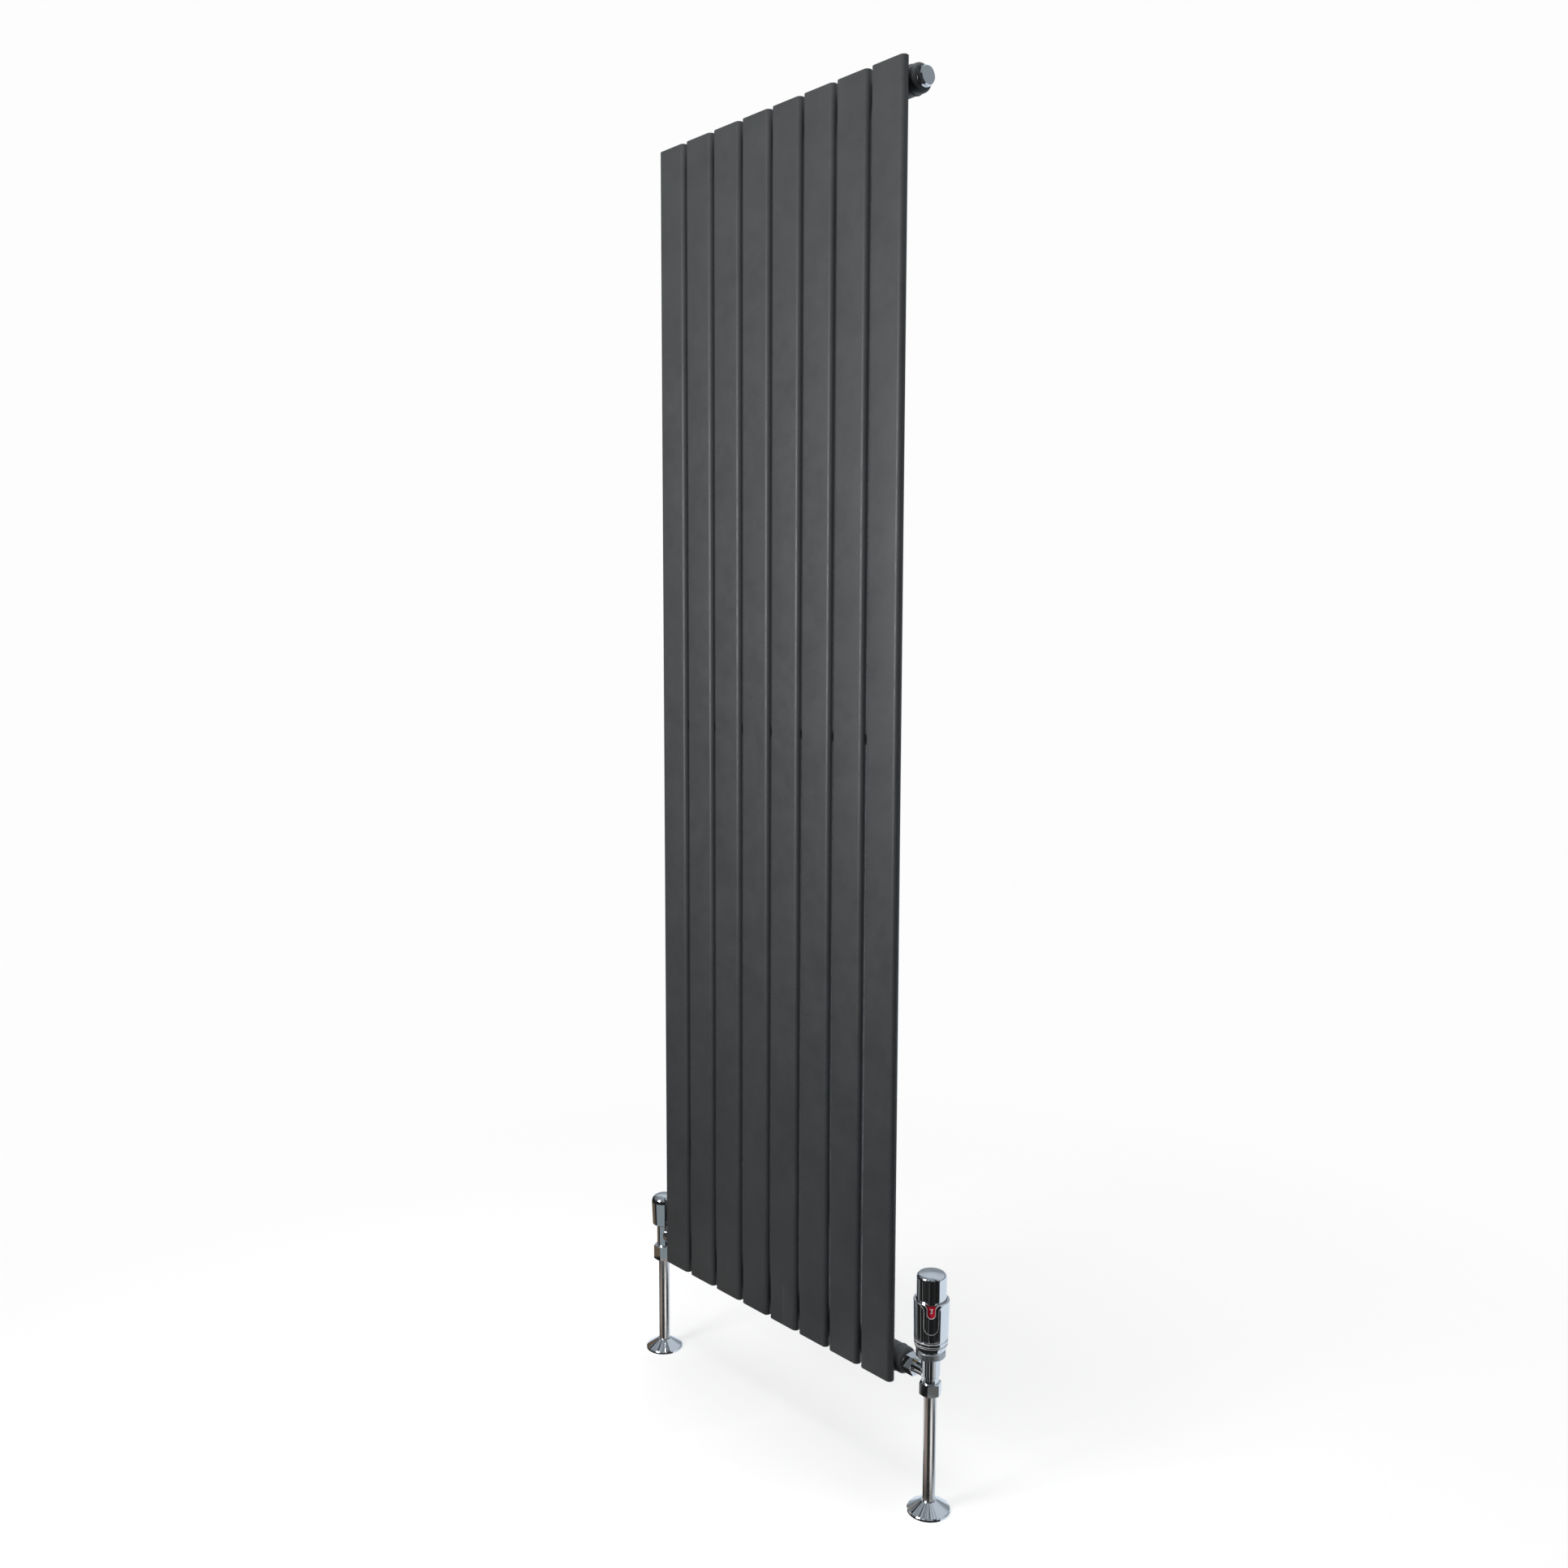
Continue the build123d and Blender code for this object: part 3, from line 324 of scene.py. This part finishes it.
studio_world()
softbox("key", place=(-0.20, -1.75, 0.32), aim=(0.05, -0.07, 0.18), size=(0.6, 1.0), power=26.0)
overhead = softbox(
    "overhead", place=(0.3, -0.4, 3.4), aim=(0.3, -0.4, -0.9), size=(3.0, 3.0), power=250.0
)
overhead.visible_glossy = False
for pipe in ("thermostatic_pipe", "lockshield_pipe"):
    for tone, start, end, color in PIPE_CARDS:
        reflector(f"{pipe}_{tone}_card", pipe, start, end, PIPE_BAND, color)
reflector_row("body", BODY_BAND, BODY_TINT, BODY_CARDS)
reflector_row("nut", NUT_BAND, NUT_TINT, NUT_CARDS)
reflector_row("head", HEAD_BAND, HEAD_TINT, HEAD_CARDS)
for tone, start, end, color in CAP_CARDS:
    reflector(f"cap_{tone}_card", "lockshield_pipe", start, end, CAP_BAND, color)
studio_floor()


# ---- materials ----------------------------------------------------------------------
def material(name, color, metallic=0.0, roughness=0.5):
    """A principled material; returns it with its node tree and shader."""
    made = bpy.data.materials.new(name)
    made.use_nodes = True
    made.diffuse_color = (*color, 1.0)
    shader = made.node_tree.nodes["Principled BSDF"]
    shader.inputs["Base Color"].default_value = (*color, 1.0)
    shader.inputs["Metallic"].default_value = metallic
    shader.inputs["Roughness"].default_value = roughness
    return made, made.node_tree, shader


def noise(tree, scale, detail=2.0, roughness=0.5, stretch=None):
    """A noise pattern in the piece's own space; scale is in cells per metre."""
    place = tree.nodes.new("ShaderNodeTexCoord").outputs["Object"]
    if stretch:
        mapping = node(tree, "ShaderNodeMapping", Scale=stretch)
        tree.links.new(place, mapping.inputs["Vector"])
        place = mapping.outputs[0]
    made = node(tree, "ShaderNodeTexNoise", Scale=scale, Detail=detail, Roughness=roughness)
    tree.links.new(place, made.inputs["Vector"])
    return made.outputs["Fac"]


def vary(tree, shader, socket, factor, low, high):
    """Drives a number on the shader between two values with a pattern."""
    spread = node(tree, "ShaderNodeMapRange", From_Min=0.3, From_Max=0.7, To_Min=low, To_Max=high)
    tree.links.new(factor, spread.inputs["Value"])
    tree.links.new(spread.outputs[0], shader.inputs[socket])


def bump(tree, shader, layers):
    """Stacks bump layers of (pattern, height in metres) onto a shader."""
    normal = None
    for pattern, height in layers:
        made = node(tree, "ShaderNodeBump", Strength=1.0, Distance=height)
        tree.links.new(pattern, made.inputs["Height"])
        if normal:
            tree.links.new(normal, made.inputs["Normal"])
        normal = made.outputs[0]
    tree.links.new(normal, shader.inputs["Normal"])


def powder_coat():
    """Matt anthracite powder coat: a faint orange peel and a fine speckle."""
    made, tree, shader = material("anthracite_powder_coat", (0.055, 0.058, 0.060))
    speckle = noise(tree, 1500.0, 3.0, 0.65)
    cloud = noise(tree, 14.0, 3.0)
    tone = maths(tree, "MULTIPLY_ADD", speckle, 0.8)
    tree.links.new(maths(tree, "MULTIPLY", cloud, 0.2), tone.node.inputs[2])
    shade_stops = (
        (0.30, (0.034, 0.036, 0.038)),
        (0.5, (0.055, 0.058, 0.060)),
        (0.72, (0.082, 0.086, 0.090)),
    )
    shade = ramp(tree, tone, shade_stops)
    tree.links.new(shade, shader.inputs["Base Color"])
    vary(tree, shader, "Roughness", noise(tree, 60.0, 2.0), 0.42, 0.54)
    bump(tree, shader, ((noise(tree, 420.0, 2.0), 0.00006), (speckle, 0.00003)))
    return made


def plated(name, color, roughness, ripple):
    """Polished plating over machined brass: small smears and a long soft ripple."""
    made, tree, shader = material(name, color, metallic=1.0, roughness=roughness)
    smear = noise(tree, 90.0, 4.0, 0.6)
    vary(tree, shader, "Roughness", smear, roughness * 0.7, roughness * 1.6)
    bump(tree, shader, ((noise(tree, 35.0, 1.0), ripple), (noise(tree, 900.0, 2.0), ripple * 0.02)))
    return made


def machined(name, color, roughness):
    """Bare turned metal with fine lathe marks round its axis."""
    made, tree, shader = material(name, color, metallic=1.0, roughness=roughness)
    marks = noise(tree, 600.0, 2.0, stretch=(0.05, 0.05, 1.0))
    vary(tree, shader, "Roughness", marks, roughness * 0.8, roughness * 1.3)
    bump(tree, shader, ((marks, 0.00001),))
    return made


def brushed(name, color, roughness):
    """Satin plated tube with fine marks along its length."""
    made, tree, shader = material(name, color, metallic=1.0, roughness=roughness)
    marks = noise(tree, 700.0, 2.0, stretch=(1.0, 1.0, 0.02))
    vary(tree, shader, "Roughness", marks, roughness * 0.9, roughness * 1.15)
    bump(tree, shader, ((marks, 0.000002),))
    return made


def drawn_copper():
    """Copper tube, slightly darkened by handling."""
    made, tree, shader = material("copper", (0.72, 0.38, 0.24), metallic=1.0, roughness=0.3)
    tarnish = noise(tree, 40.0, 4.0, 0.65)
    shade = ramp(tree, tarnish, ((0.35, (0.40, 0.20, 0.13)), (0.65, (0.76, 0.42, 0.28))))
    tree.links.new(shade, shader.inputs["Base Color"])
    vary(tree, shader, "Roughness", tarnish, 0.42, 0.24)
    return made


def moulded(name, color, roughness, grain):
    """Moulded plastic or rubber with a fine grain."""
    made, tree, shader = material(name, color, roughness=roughness)
    pattern = noise(tree, 1200.0, 2.0)
    vary(tree, shader, "Roughness", noise(tree, 80.0), roughness * 0.85, roughness * 1.15)
    bump(tree, shader, ((pattern, grain),))
    return made


SLOT_MATERIALS = {
    "anthracite_coat": powder_coat(),
    "chrome": plated("chrome", (0.78, 0.79, 0.81), 0.05, 0.00002),
    "nickel": plated("satin_chrome", (0.62, 0.63, 0.65), 0.22, 0.00001),
    "brass": machined("brass", (0.80, 0.62, 0.30), 0.28),
    "copper": drawn_copper(),
    "steel": machined("steel", (0.58, 0.58, 0.60), 0.30),
    "seal_rubber": moulded("black_rubber", (0.02, 0.02, 0.02), 0.75, 0.00002),
    "red_plastic": moulded("red_plastic", (0.60, 0.006, 0.03), 0.28, 0.000004),
    "sensor_plastic": moulded("sensor_plastic", (0.72, 0.72, 0.70), 0.45, 0.00001),
}

SATIN_SLEEVE = brushed("satin_sleeve", (0.74, 0.73, 0.72), 0.24)
# A pale, half-metal finish for the lips and groove beads: it paints a bright highlight line along
# the housing's openings and grooves.
PAINTED_HIGHLIGHT_LIP = plated("painted_highlight_lip", (0.9, 0.91, 0.93), 0.38, 0.000002)
PAINTED_HIGHLIGHT_LIP.node_tree.nodes["Principled BSDF"].inputs["Metallic"].default_value = 0.35
WHITE_PRINT = moulded("white_print", (0.85, 0.85, 0.85), 0.4, 0.000002)

for entry in frame["record"]["subparts"]:
    piece = NODES[entry["node"]]
    piece.data.materials.clear()
    piece.data.materials.append(SLOT_MATERIALS[entry["material_slot"]])

for sleeve in ("thermostatic_pipe_sleeve", "lockshield_pipe_sleeve"):
    NODES[sleeve].data.materials[0] = SATIN_SLEEVE


# ---- pieces -------------------------------------------------------------------------
def piece_from(bm, name, body, slot, look=None):
    """Turns a bmesh into a smooth-shaded piece that rides on a body, if one is given."""
    bmesh.ops.recalc_face_normals(bm, faces=bm.faces)
    mesh = bpy.data.meshes.new(name)
    bm.to_mesh(mesh)
    bm.free()
    mesh.polygons.foreach_set("use_smooth", [True] * len(mesh.polygons))
    mesh.set_sharp_from_angle(angle=radians(40))
    mesh.materials.append(look or SLOT_MATERIALS[slot])
    piece = bpy.data.objects.new(name, mesh)
    scene.collection.objects.link(piece)
    if body:
        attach(piece, body)
    return piece


def circle(centre, radius, first, second, steps):
    """Points round a circle, in the plane of two unit directions."""
    turns = [tau * i / steps for i in range(steps)]
    return [centre + radius * (cos(turn) * first + sin(turn) * second) for turn in turns]


def skin(bm, rings, capped=True):
    """Joins closed rings of points into a surface; capped closes its two ends as well."""
    rows = [[bm.verts.new(point) for point in ring] for ring in rings]
    for one, two in zip(rows, rows[1:]):
        count = len(one)
        for i in range(count):
            j = (i + 1) % count
            bm.faces.new((one[i], one[j], two[j], two[i]))
    if capped:
        bm.faces.new(rows[0])
        bm.faces.new(rows[-1])


def slot_ring(centre, width, depth, inset, z, arc_steps=20):
    """A slot-shaped ring of points round a flat tube, drawn in from its outline."""
    radius = depth / 2 - inset
    straight = (width - depth) / 2
    points = []
    for middle_x, first_turn in ((centre.x + straight, -pi / 2), (centre.x - straight, pi / 2)):
        for i in range(arc_steps + 1):
            turn = first_turn + i / arc_steps * pi
            points.append((middle_x + radius * cos(turn), centre.y + radius * sin(turn), z))
    return points


ROUND_SEGMENTS = 96
HEADER_WALL = 2.0 * MM

# The closing plate of a flat tube: (inset from the outline, depth below its end).
EDGE_ROUND = 0.9 * MM
SEAM_INSET = 1.9 * MM
SEAM_WIDTH = 0.5 * MM
SEAM_DEPTH = 0.2 * MM
ROUND_STEPS = 5
END_PROFILE = [
    (SEAM_INSET + SEAM_WIDTH, 0.0),
    (SEAM_INSET + SEAM_WIDTH * 0.7, SEAM_DEPTH),
    (SEAM_INSET + SEAM_WIDTH * 0.3, SEAM_DEPTH),
    (SEAM_INSET, 0.0),
] + [
    (
        EDGE_ROUND * (1 - sin(i / ROUND_STEPS * pi / 2)),
        EDGE_ROUND * (1 - cos(i / ROUND_STEPS * pi / 2)),
    )
    for i in range(ROUND_STEPS + 1)
]


def smooth_flat_tube(name):
    """A flat tube with softened ends and the fine seam of its closing plates."""
    low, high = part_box(name)
    size, centre = high - low, (low + high) / 2
    rings = [slot_ring(centre, size.x, size.y, inset, low.z + drop) for inset, drop in END_PROFILE]
    rings += [
        slot_ring(centre, size.x, size.y, inset, high.z - drop)
        for inset, drop in reversed(END_PROFILE)
    ]
    bm = bmesh.new()
    skin(bm, rings)
    piece = piece_from(bm, f"{name}_skin", RADIATOR, "anthracite_coat")
    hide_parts(name)


def smooth_header(name):
    """A header tube, turned finely, with its open ends inside the end fittings."""
    low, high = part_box(name)
    centre, outer = (low + high) / 2, (high.z - low.z) / 2
    inner = outer - HEADER_WALL
    stations = ((low.x, inner), (low.x, outer), (high.x, outer), (high.x, inner))
    rings = [
        circle(Vector((x, centre.y, centre.z)), radius, AXIS_Y, AXIS_Z, ROUND_SEGMENTS)
        for x, radius in (*stations, stations[0])
    ]
    bm = bmesh.new()
    skin(bm, rings, capped=False)
    bmesh.ops.remove_doubles(bm, verts=bm.verts, dist=0.01 * MM)
    piece = piece_from(bm, f"{name}_skin", RADIATOR, "anthracite_coat")
    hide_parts(name)


TUBES = [name for name in NODES if name.startswith("flat_tube_")]
for tube in TUBES:
    smooth_flat_tube(tube)
for header in ("upper_header", "lower_header"):
    smooth_header(header)


BEAD_SIDES = 8
RIPPLE_SWELL = 0.10
UNEVEN_SWELL = 0.05
PORT_BEAD, PORT_RIPPLES = 1.2 * MM, 16
PORT_STANDOFF = 0.4 * MM
SEAM_BEAD, SEAM_RIPPLES = 0.8 * MM, 40
STUD_BEAD, STUD_RIPPLES = 0.9 * MM, 22
STUD_FOOT_RADIUS = 11.0 * MM
STUD_STANDOFF = 0.6 * MM
TACK_SHIFTS = (-6, -3, 0, 3, 6)
TACK_SIZE = (2.4 * MM, 1.3 * MM, 1.5 * MM, 1.0)
TACK_STANDOFF = 0.3 * MM


def bead(bm, centre_line, thickness, ripples):
    """A closed weld bead along a loop: a tube whose thickness ripples like laid metal.

    centre_line gives, for a turn in radians, a point and the outward direction there.
    """
    around = 12 * ripples
    rings = []
    for i in range(around + 1):
        turn = tau * (i % around) / around
        point, outward = centre_line(turn)
        ahead = centre_line(turn + 0.01)[0] - centre_line(turn - 0.01)[0]
        up = ahead.normalized().cross(outward)
        laid = RIPPLE_SWELL * abs(sin(ripples * turn / 2))
        uneven = UNEVEN_SWELL * sin(3 * turn + 1)
        swell = thickness * (1 + laid + uneven)
        rings.append(circle(point, swell, outward, up, BEAD_SIDES))
    skin(bm, rings, capped=False)
    bmesh.ops.remove_doubles(bm, verts=bm.verts, dist=0.001 * MM)


def ring_line(centre, radius, normal):
    """A circle as a bead's centre line."""
    first = normal.orthogonal().normalized()
    second = normal.cross(first)

    def at(turn):
        outward = cos(turn) * first + sin(turn) * second
        return centre + radius * outward, outward

    return at


def saddle_line(x, header_centre, tube_back, radius, header_radius):
    """The line where a short port tube meets the round header, as a bead's line."""

    def at(turn):
        outward = Vector((cos(turn), 0, sin(turn)))
        rise = radius * sin(turn)
        crest = header_centre.y - (header_radius**2 - rise**2) ** 0.5
        point = (x + radius * cos(turn), (crest + tube_back) / 2, header_centre.z + rise)
        return Vector(point), outward

    return at


PORT_RADIUS = extent("upper_port_nipples").z / 2
TUBE_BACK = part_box(TUBES[0])[1].y
for level in ("upper", "lower"):
    header_centre = middle(f"{level}_header")
    header_radius = extent(f"{level}_header").z / 2
    bm = bmesh.new()
    for tube in TUBES:
        line = saddle_line(
            middle(tube).x, header_centre, TUBE_BACK, PORT_RADIUS + PORT_STANDOFF, header_radius
        )
        bead(bm, line, PORT_BEAD, PORT_RIPPLES)
    piece_from(bm, f"{level}_port_welds", RADIATOR, "anthracite_coat")
    bm = bmesh.new()
    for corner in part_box(f"{level}_header"):
        seam_centre = Vector((corner.x, header_centre.y, header_centre.z))
        seam = ring_line(seam_centre, header_radius, AXIS_X)
        bead(bm, seam, SEAM_BEAD, SEAM_RIPPLES)
    piece_from(bm, f"{level}_header_seams", RADIATOR, "anthracite_coat")

bracket_names = [name for name in NODES if name.endswith("wall_bracket")]
bm = bmesh.new()
for name in bracket_names:
    stud_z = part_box(name)[1].z - extent(name).x / 2
    foot = Vector((middle(name).x, TUBE_BACK + STUD_STANDOFF, stud_z))
    bead(bm, ring_line(foot, STUD_FOOT_RADIUS, AXIS_Y), STUD_BEAD, STUD_RIPPLES)
piece_from(bm, "stud_welds", RADIATOR, "anthracite_coat")

# Short tack welds along both edges of the tie bar: a row of overlapping beads per tube.
bar_low, bar_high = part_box("tie_bar")
bm = bmesh.new()
for tube in TUBES:
    for z in (bar_low.z, bar_high.z):
        for shift in TACK_SHIFTS:
            spot = (middle(tube).x + shift * MM, TUBE_BACK + TACK_STANDOFF, z)
            placed = Matrix.Translation(spot) @ Matrix.Diagonal(TACK_SIZE)
            bmesh.ops.create_icosphere(bm, subdivisions=3, radius=1.0, matrix=placed)
piece_from(bm, "tie_bar_tacks", RADIATOR, "anthracite_coat")


# ---- return spring ------------------------------------------------------------------
SPRING_WIRE = 0.9 * MM
SPRING_TURNS = 4.5
COIL_STEPS = 40
WIRE_SIDES = 12

# The coil is drawn once, from the spring's foot on the insert to its head at the stem's collar.
foot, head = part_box("thermostatic_spring")
coil_axis = (foot + head) / 2
coil_radius = (head.x - foot.x - SPRING_WIRE) / 2
rise = head.z - foot.z - SPRING_WIRE
steps = int(SPRING_TURNS * COIL_STEPS)
bm = bmesh.new()
rings = []
for i in range(steps + 1):
    turn = tau * SPRING_TURNS * i / steps
    out = Vector((cos(turn), sin(turn), 0))
    centre = Vector((coil_axis.x, coil_axis.y, foot.z + SPRING_WIRE / 2 + rise * i / steps))
    rings.append(circle(centre + coil_radius * out, SPRING_WIRE / 2, out, AXIS_Z, WIRE_SIDES))
skin(bm, rings)
coil = piece_from(bm, "return_spring_coil", None, "steel")
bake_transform(coil)
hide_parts("thermostatic_spring")


# ---- dial ---------------------------------------------------------------------------
WINDOW_TURN = radians(-47)  # azimuth of the dial window, from +X
DIAL = middle("thermostatic_dial")
DIAL_RADIUS = extent("thermostatic_dial").x / 2
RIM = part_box("thermostatic_housing")[1].z
PRINT = 0.06 * MM
NUMBERS = "0123456"
NUMBER_STEP = radians(45)
NUMBER_DROP, NUMBER_HEIGHT = 9.0 * MM, 8.0 * MM
DOT_DROP, DOT_HEIGHT = 3.4 * MM, 9.0 * MM
DOT_SPREAD = 1.5 * MM

# The dark ring's section as (radius, height above the dial's top), in millimetres; the ring is
# painted shade on the dial's top edge.
SHADE_RING_PROFILE = (
    (18.95, -1.6),
    (19.14, -1.6),
    (19.16, -0.2),
    (19.0, 0.06),
    (18.0, 0.06),
    (18.0, -0.4),
)

# The housing's outside, and the edges of its two grooves, as (drop below the rim, radius)
# in millimetres.
HOUSING_SHELL = ((0.5, 22.65), (25.6, 22.2), (48.4, 21.6))
GROOVE_EDGES = ((57.2, 20.85), (54.8, 21.25), (51.2, 21.25))
GROOVE_BEAD, GROOVE_RIPPLES = 0.24 * MM, 8

# The lips along the openings: where they start below the rim, in millimetres, how sharply
# they flare there, and how finely the flare, the sides and the bend are drawn.
LIP_START = 0.3
FLARE_POWER = 2.2
FLARE_STEPS, SIDE_STEPS, BEND_STEPS = 12, 8, 24
LIP_SIDES = 10


def wrapped(mesh, azimuth, z):
    """Bends a flat mesh, drawn in x and y, onto the dial's surface."""
    for vertex in mesh.vertices:
        turn = azimuth + vertex.co.x / DIAL_RADIUS
        radius = DIAL_RADIUS + PRINT + vertex.co.z
        vertex.co = (
            DIAL.x + radius * cos(turn),
            DIAL.y + radius * sin(turn),
            z + vertex.co.y,
        )


def dial_print(bm, text, azimuth, z, height):
    """Adds one plain character printed on the dial."""
    curve = bpy.data.curves.new("print", "FONT")
    curve.body = text
    curve.size = height
    curve.align_x = curve.align_y = "CENTER"
    curve.extrude = PRINT / 2
    curve.offset = 0.012 * height
    source = bpy.data.objects.new("print", curve)
    mesh = bpy.data.meshes.new_from_object(source)
    bpy.data.objects.remove(source)
    wrapped(mesh, azimuth, z)
    bm.from_mesh(mesh)
    bpy.data.meshes.remove(mesh)


# A dark ring on the dial's upper edge, between the knob and the rim: painted shade where the dial
# meets the rim.
dial_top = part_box("thermostatic_dial")[1].z
bm = bmesh.new()
rings = []
for radius, height in (*SHADE_RING_PROFILE, SHADE_RING_PROFILE[0]):
    centre = Vector((DIAL.x, DIAL.y, dial_top + height * MM))
    rings.append(circle(centre, radius * MM, AXIS_X, AXIS_Y, ROUND_SEGMENTS))
skin(bm, rings, capped=False)
bmesh.ops.remove_doubles(bm, verts=bm.verts, dist=0.001 * MM)
piece_from(bm, "dial_edge_painted_shade", "dial_knob", "seal_rubber")


def shell_radius(drop):
    """The housing's outer radius at a drop below its rim, both in millimetres."""
    for (top, wide), (foot, narrow) in zip(HOUSING_SHELL, HOUSING_SHELL[1:]):
        if drop <= foot:
            return wide + (narrow - wide) * (max(drop, top) - top) / (foot - top)
    return HOUSING_SHELL[-1][1]


def bell_path(half, flare, depth):
    """Half of a U that widens at the rim, as (sideways, drop) points, then its mirror."""
    flare_drop = 1.25 * flare + 2.0
    bend = depth - half
    points = []
    for i in range(FLARE_STEPS + 1):
        share = i / FLARE_STEPS
        drop = LIP_START + (flare_drop - LIP_START) * share
        points.append((half + flare * (1 - share) ** FLARE_POWER, drop))
    for i in range(1, SIDE_STEPS + 1):
        points.append((half, flare_drop + (bend - flare_drop) * i / SIDE_STEPS))
    for i in range(1, BEND_STEPS + 1):
        turn = i / BEND_STEPS * pi / 2
        points.append((half * cos(turn), bend + half * sin(turn)))
    return points + [(-across, drop) for across, drop in reversed(points[:-1])]


def painted_highlight_edge(name, half, flare, depth, thickness, sink):
    """A fine lip along an opening in the housing, in a pale half-metal finish that paints a bright
    highlight line; all sizes in millimetres.
    """
    facing = Vector((cos(WINDOW_TURN), sin(WINDOW_TURN), 0))
    sideways = Vector((-facing.y, facing.x, 0))
    line, outward = [], []
    for across, drop in bell_path(half, flare, depth):
        reach = (shell_radius(drop) - sink) ** 2 - across**2
        flat = (reach**0.5 * facing + across * sideways) * MM
        line.append(Vector((DIAL.x, DIAL.y, RIM - drop * MM)) + flat)
        outward.append(flat.normalized())
    rings = []
    for i, (point, out) in enumerate(zip(line, outward)):
        ahead = (line[min(i + 1, len(line) - 1)] - line[max(i - 1, 0)]).normalized()
        beside = ahead.cross(out).normalized()
        rings.append(circle(point, thickness * MM, out, beside, LIP_SIDES))
    bm = bmesh.new()
    skin(bm, rings)
    piece_from(bm, name, RADIATOR, "chrome", PAINTED_HIGHLIGHT_LIP)


painted_highlight_edge("window_lip", half=5.2, flare=3.2, depth=16.6, thickness=0.32, sink=0.22)
painted_highlight_edge("loop_lip", half=9.15, flare=5.6, depth=37.55, thickness=0.38, sink=0.42)
# Beads on the groove edges in the same pale finish: a painted highlight line on each edge.
bm = bmesh.new()
for drop, radius in GROOVE_EDGES:
    edge = ring_line(Vector((DIAL.x, DIAL.y, RIM - drop * MM)), radius * MM, AXIS_Z)
    bead(bm, edge, GROOVE_BEAD, GROOVE_RIPPLES)
piece_from(bm, "groove_lips", RADIATOR, "chrome", PAINTED_HIGHLIGHT_LIP)

bm = bmesh.new()
for index, label in enumerate(NUMBERS):
    azimuth = WINDOW_TURN - (index - len(NUMBERS) // 2) * NUMBER_STEP
    dial_print(bm, label, azimuth, RIM - NUMBER_DROP, NUMBER_HEIGHT)
    for side in (-1, 1):
        beside = azimuth + side * DOT_SPREAD / DIAL_RADIUS
        dial_print(bm, ".", beside, RIM - DOT_DROP, DOT_HEIGHT)
piece_from(bm, "dial_print", "dial_knob", "sensor_plastic", WHITE_PRINT)
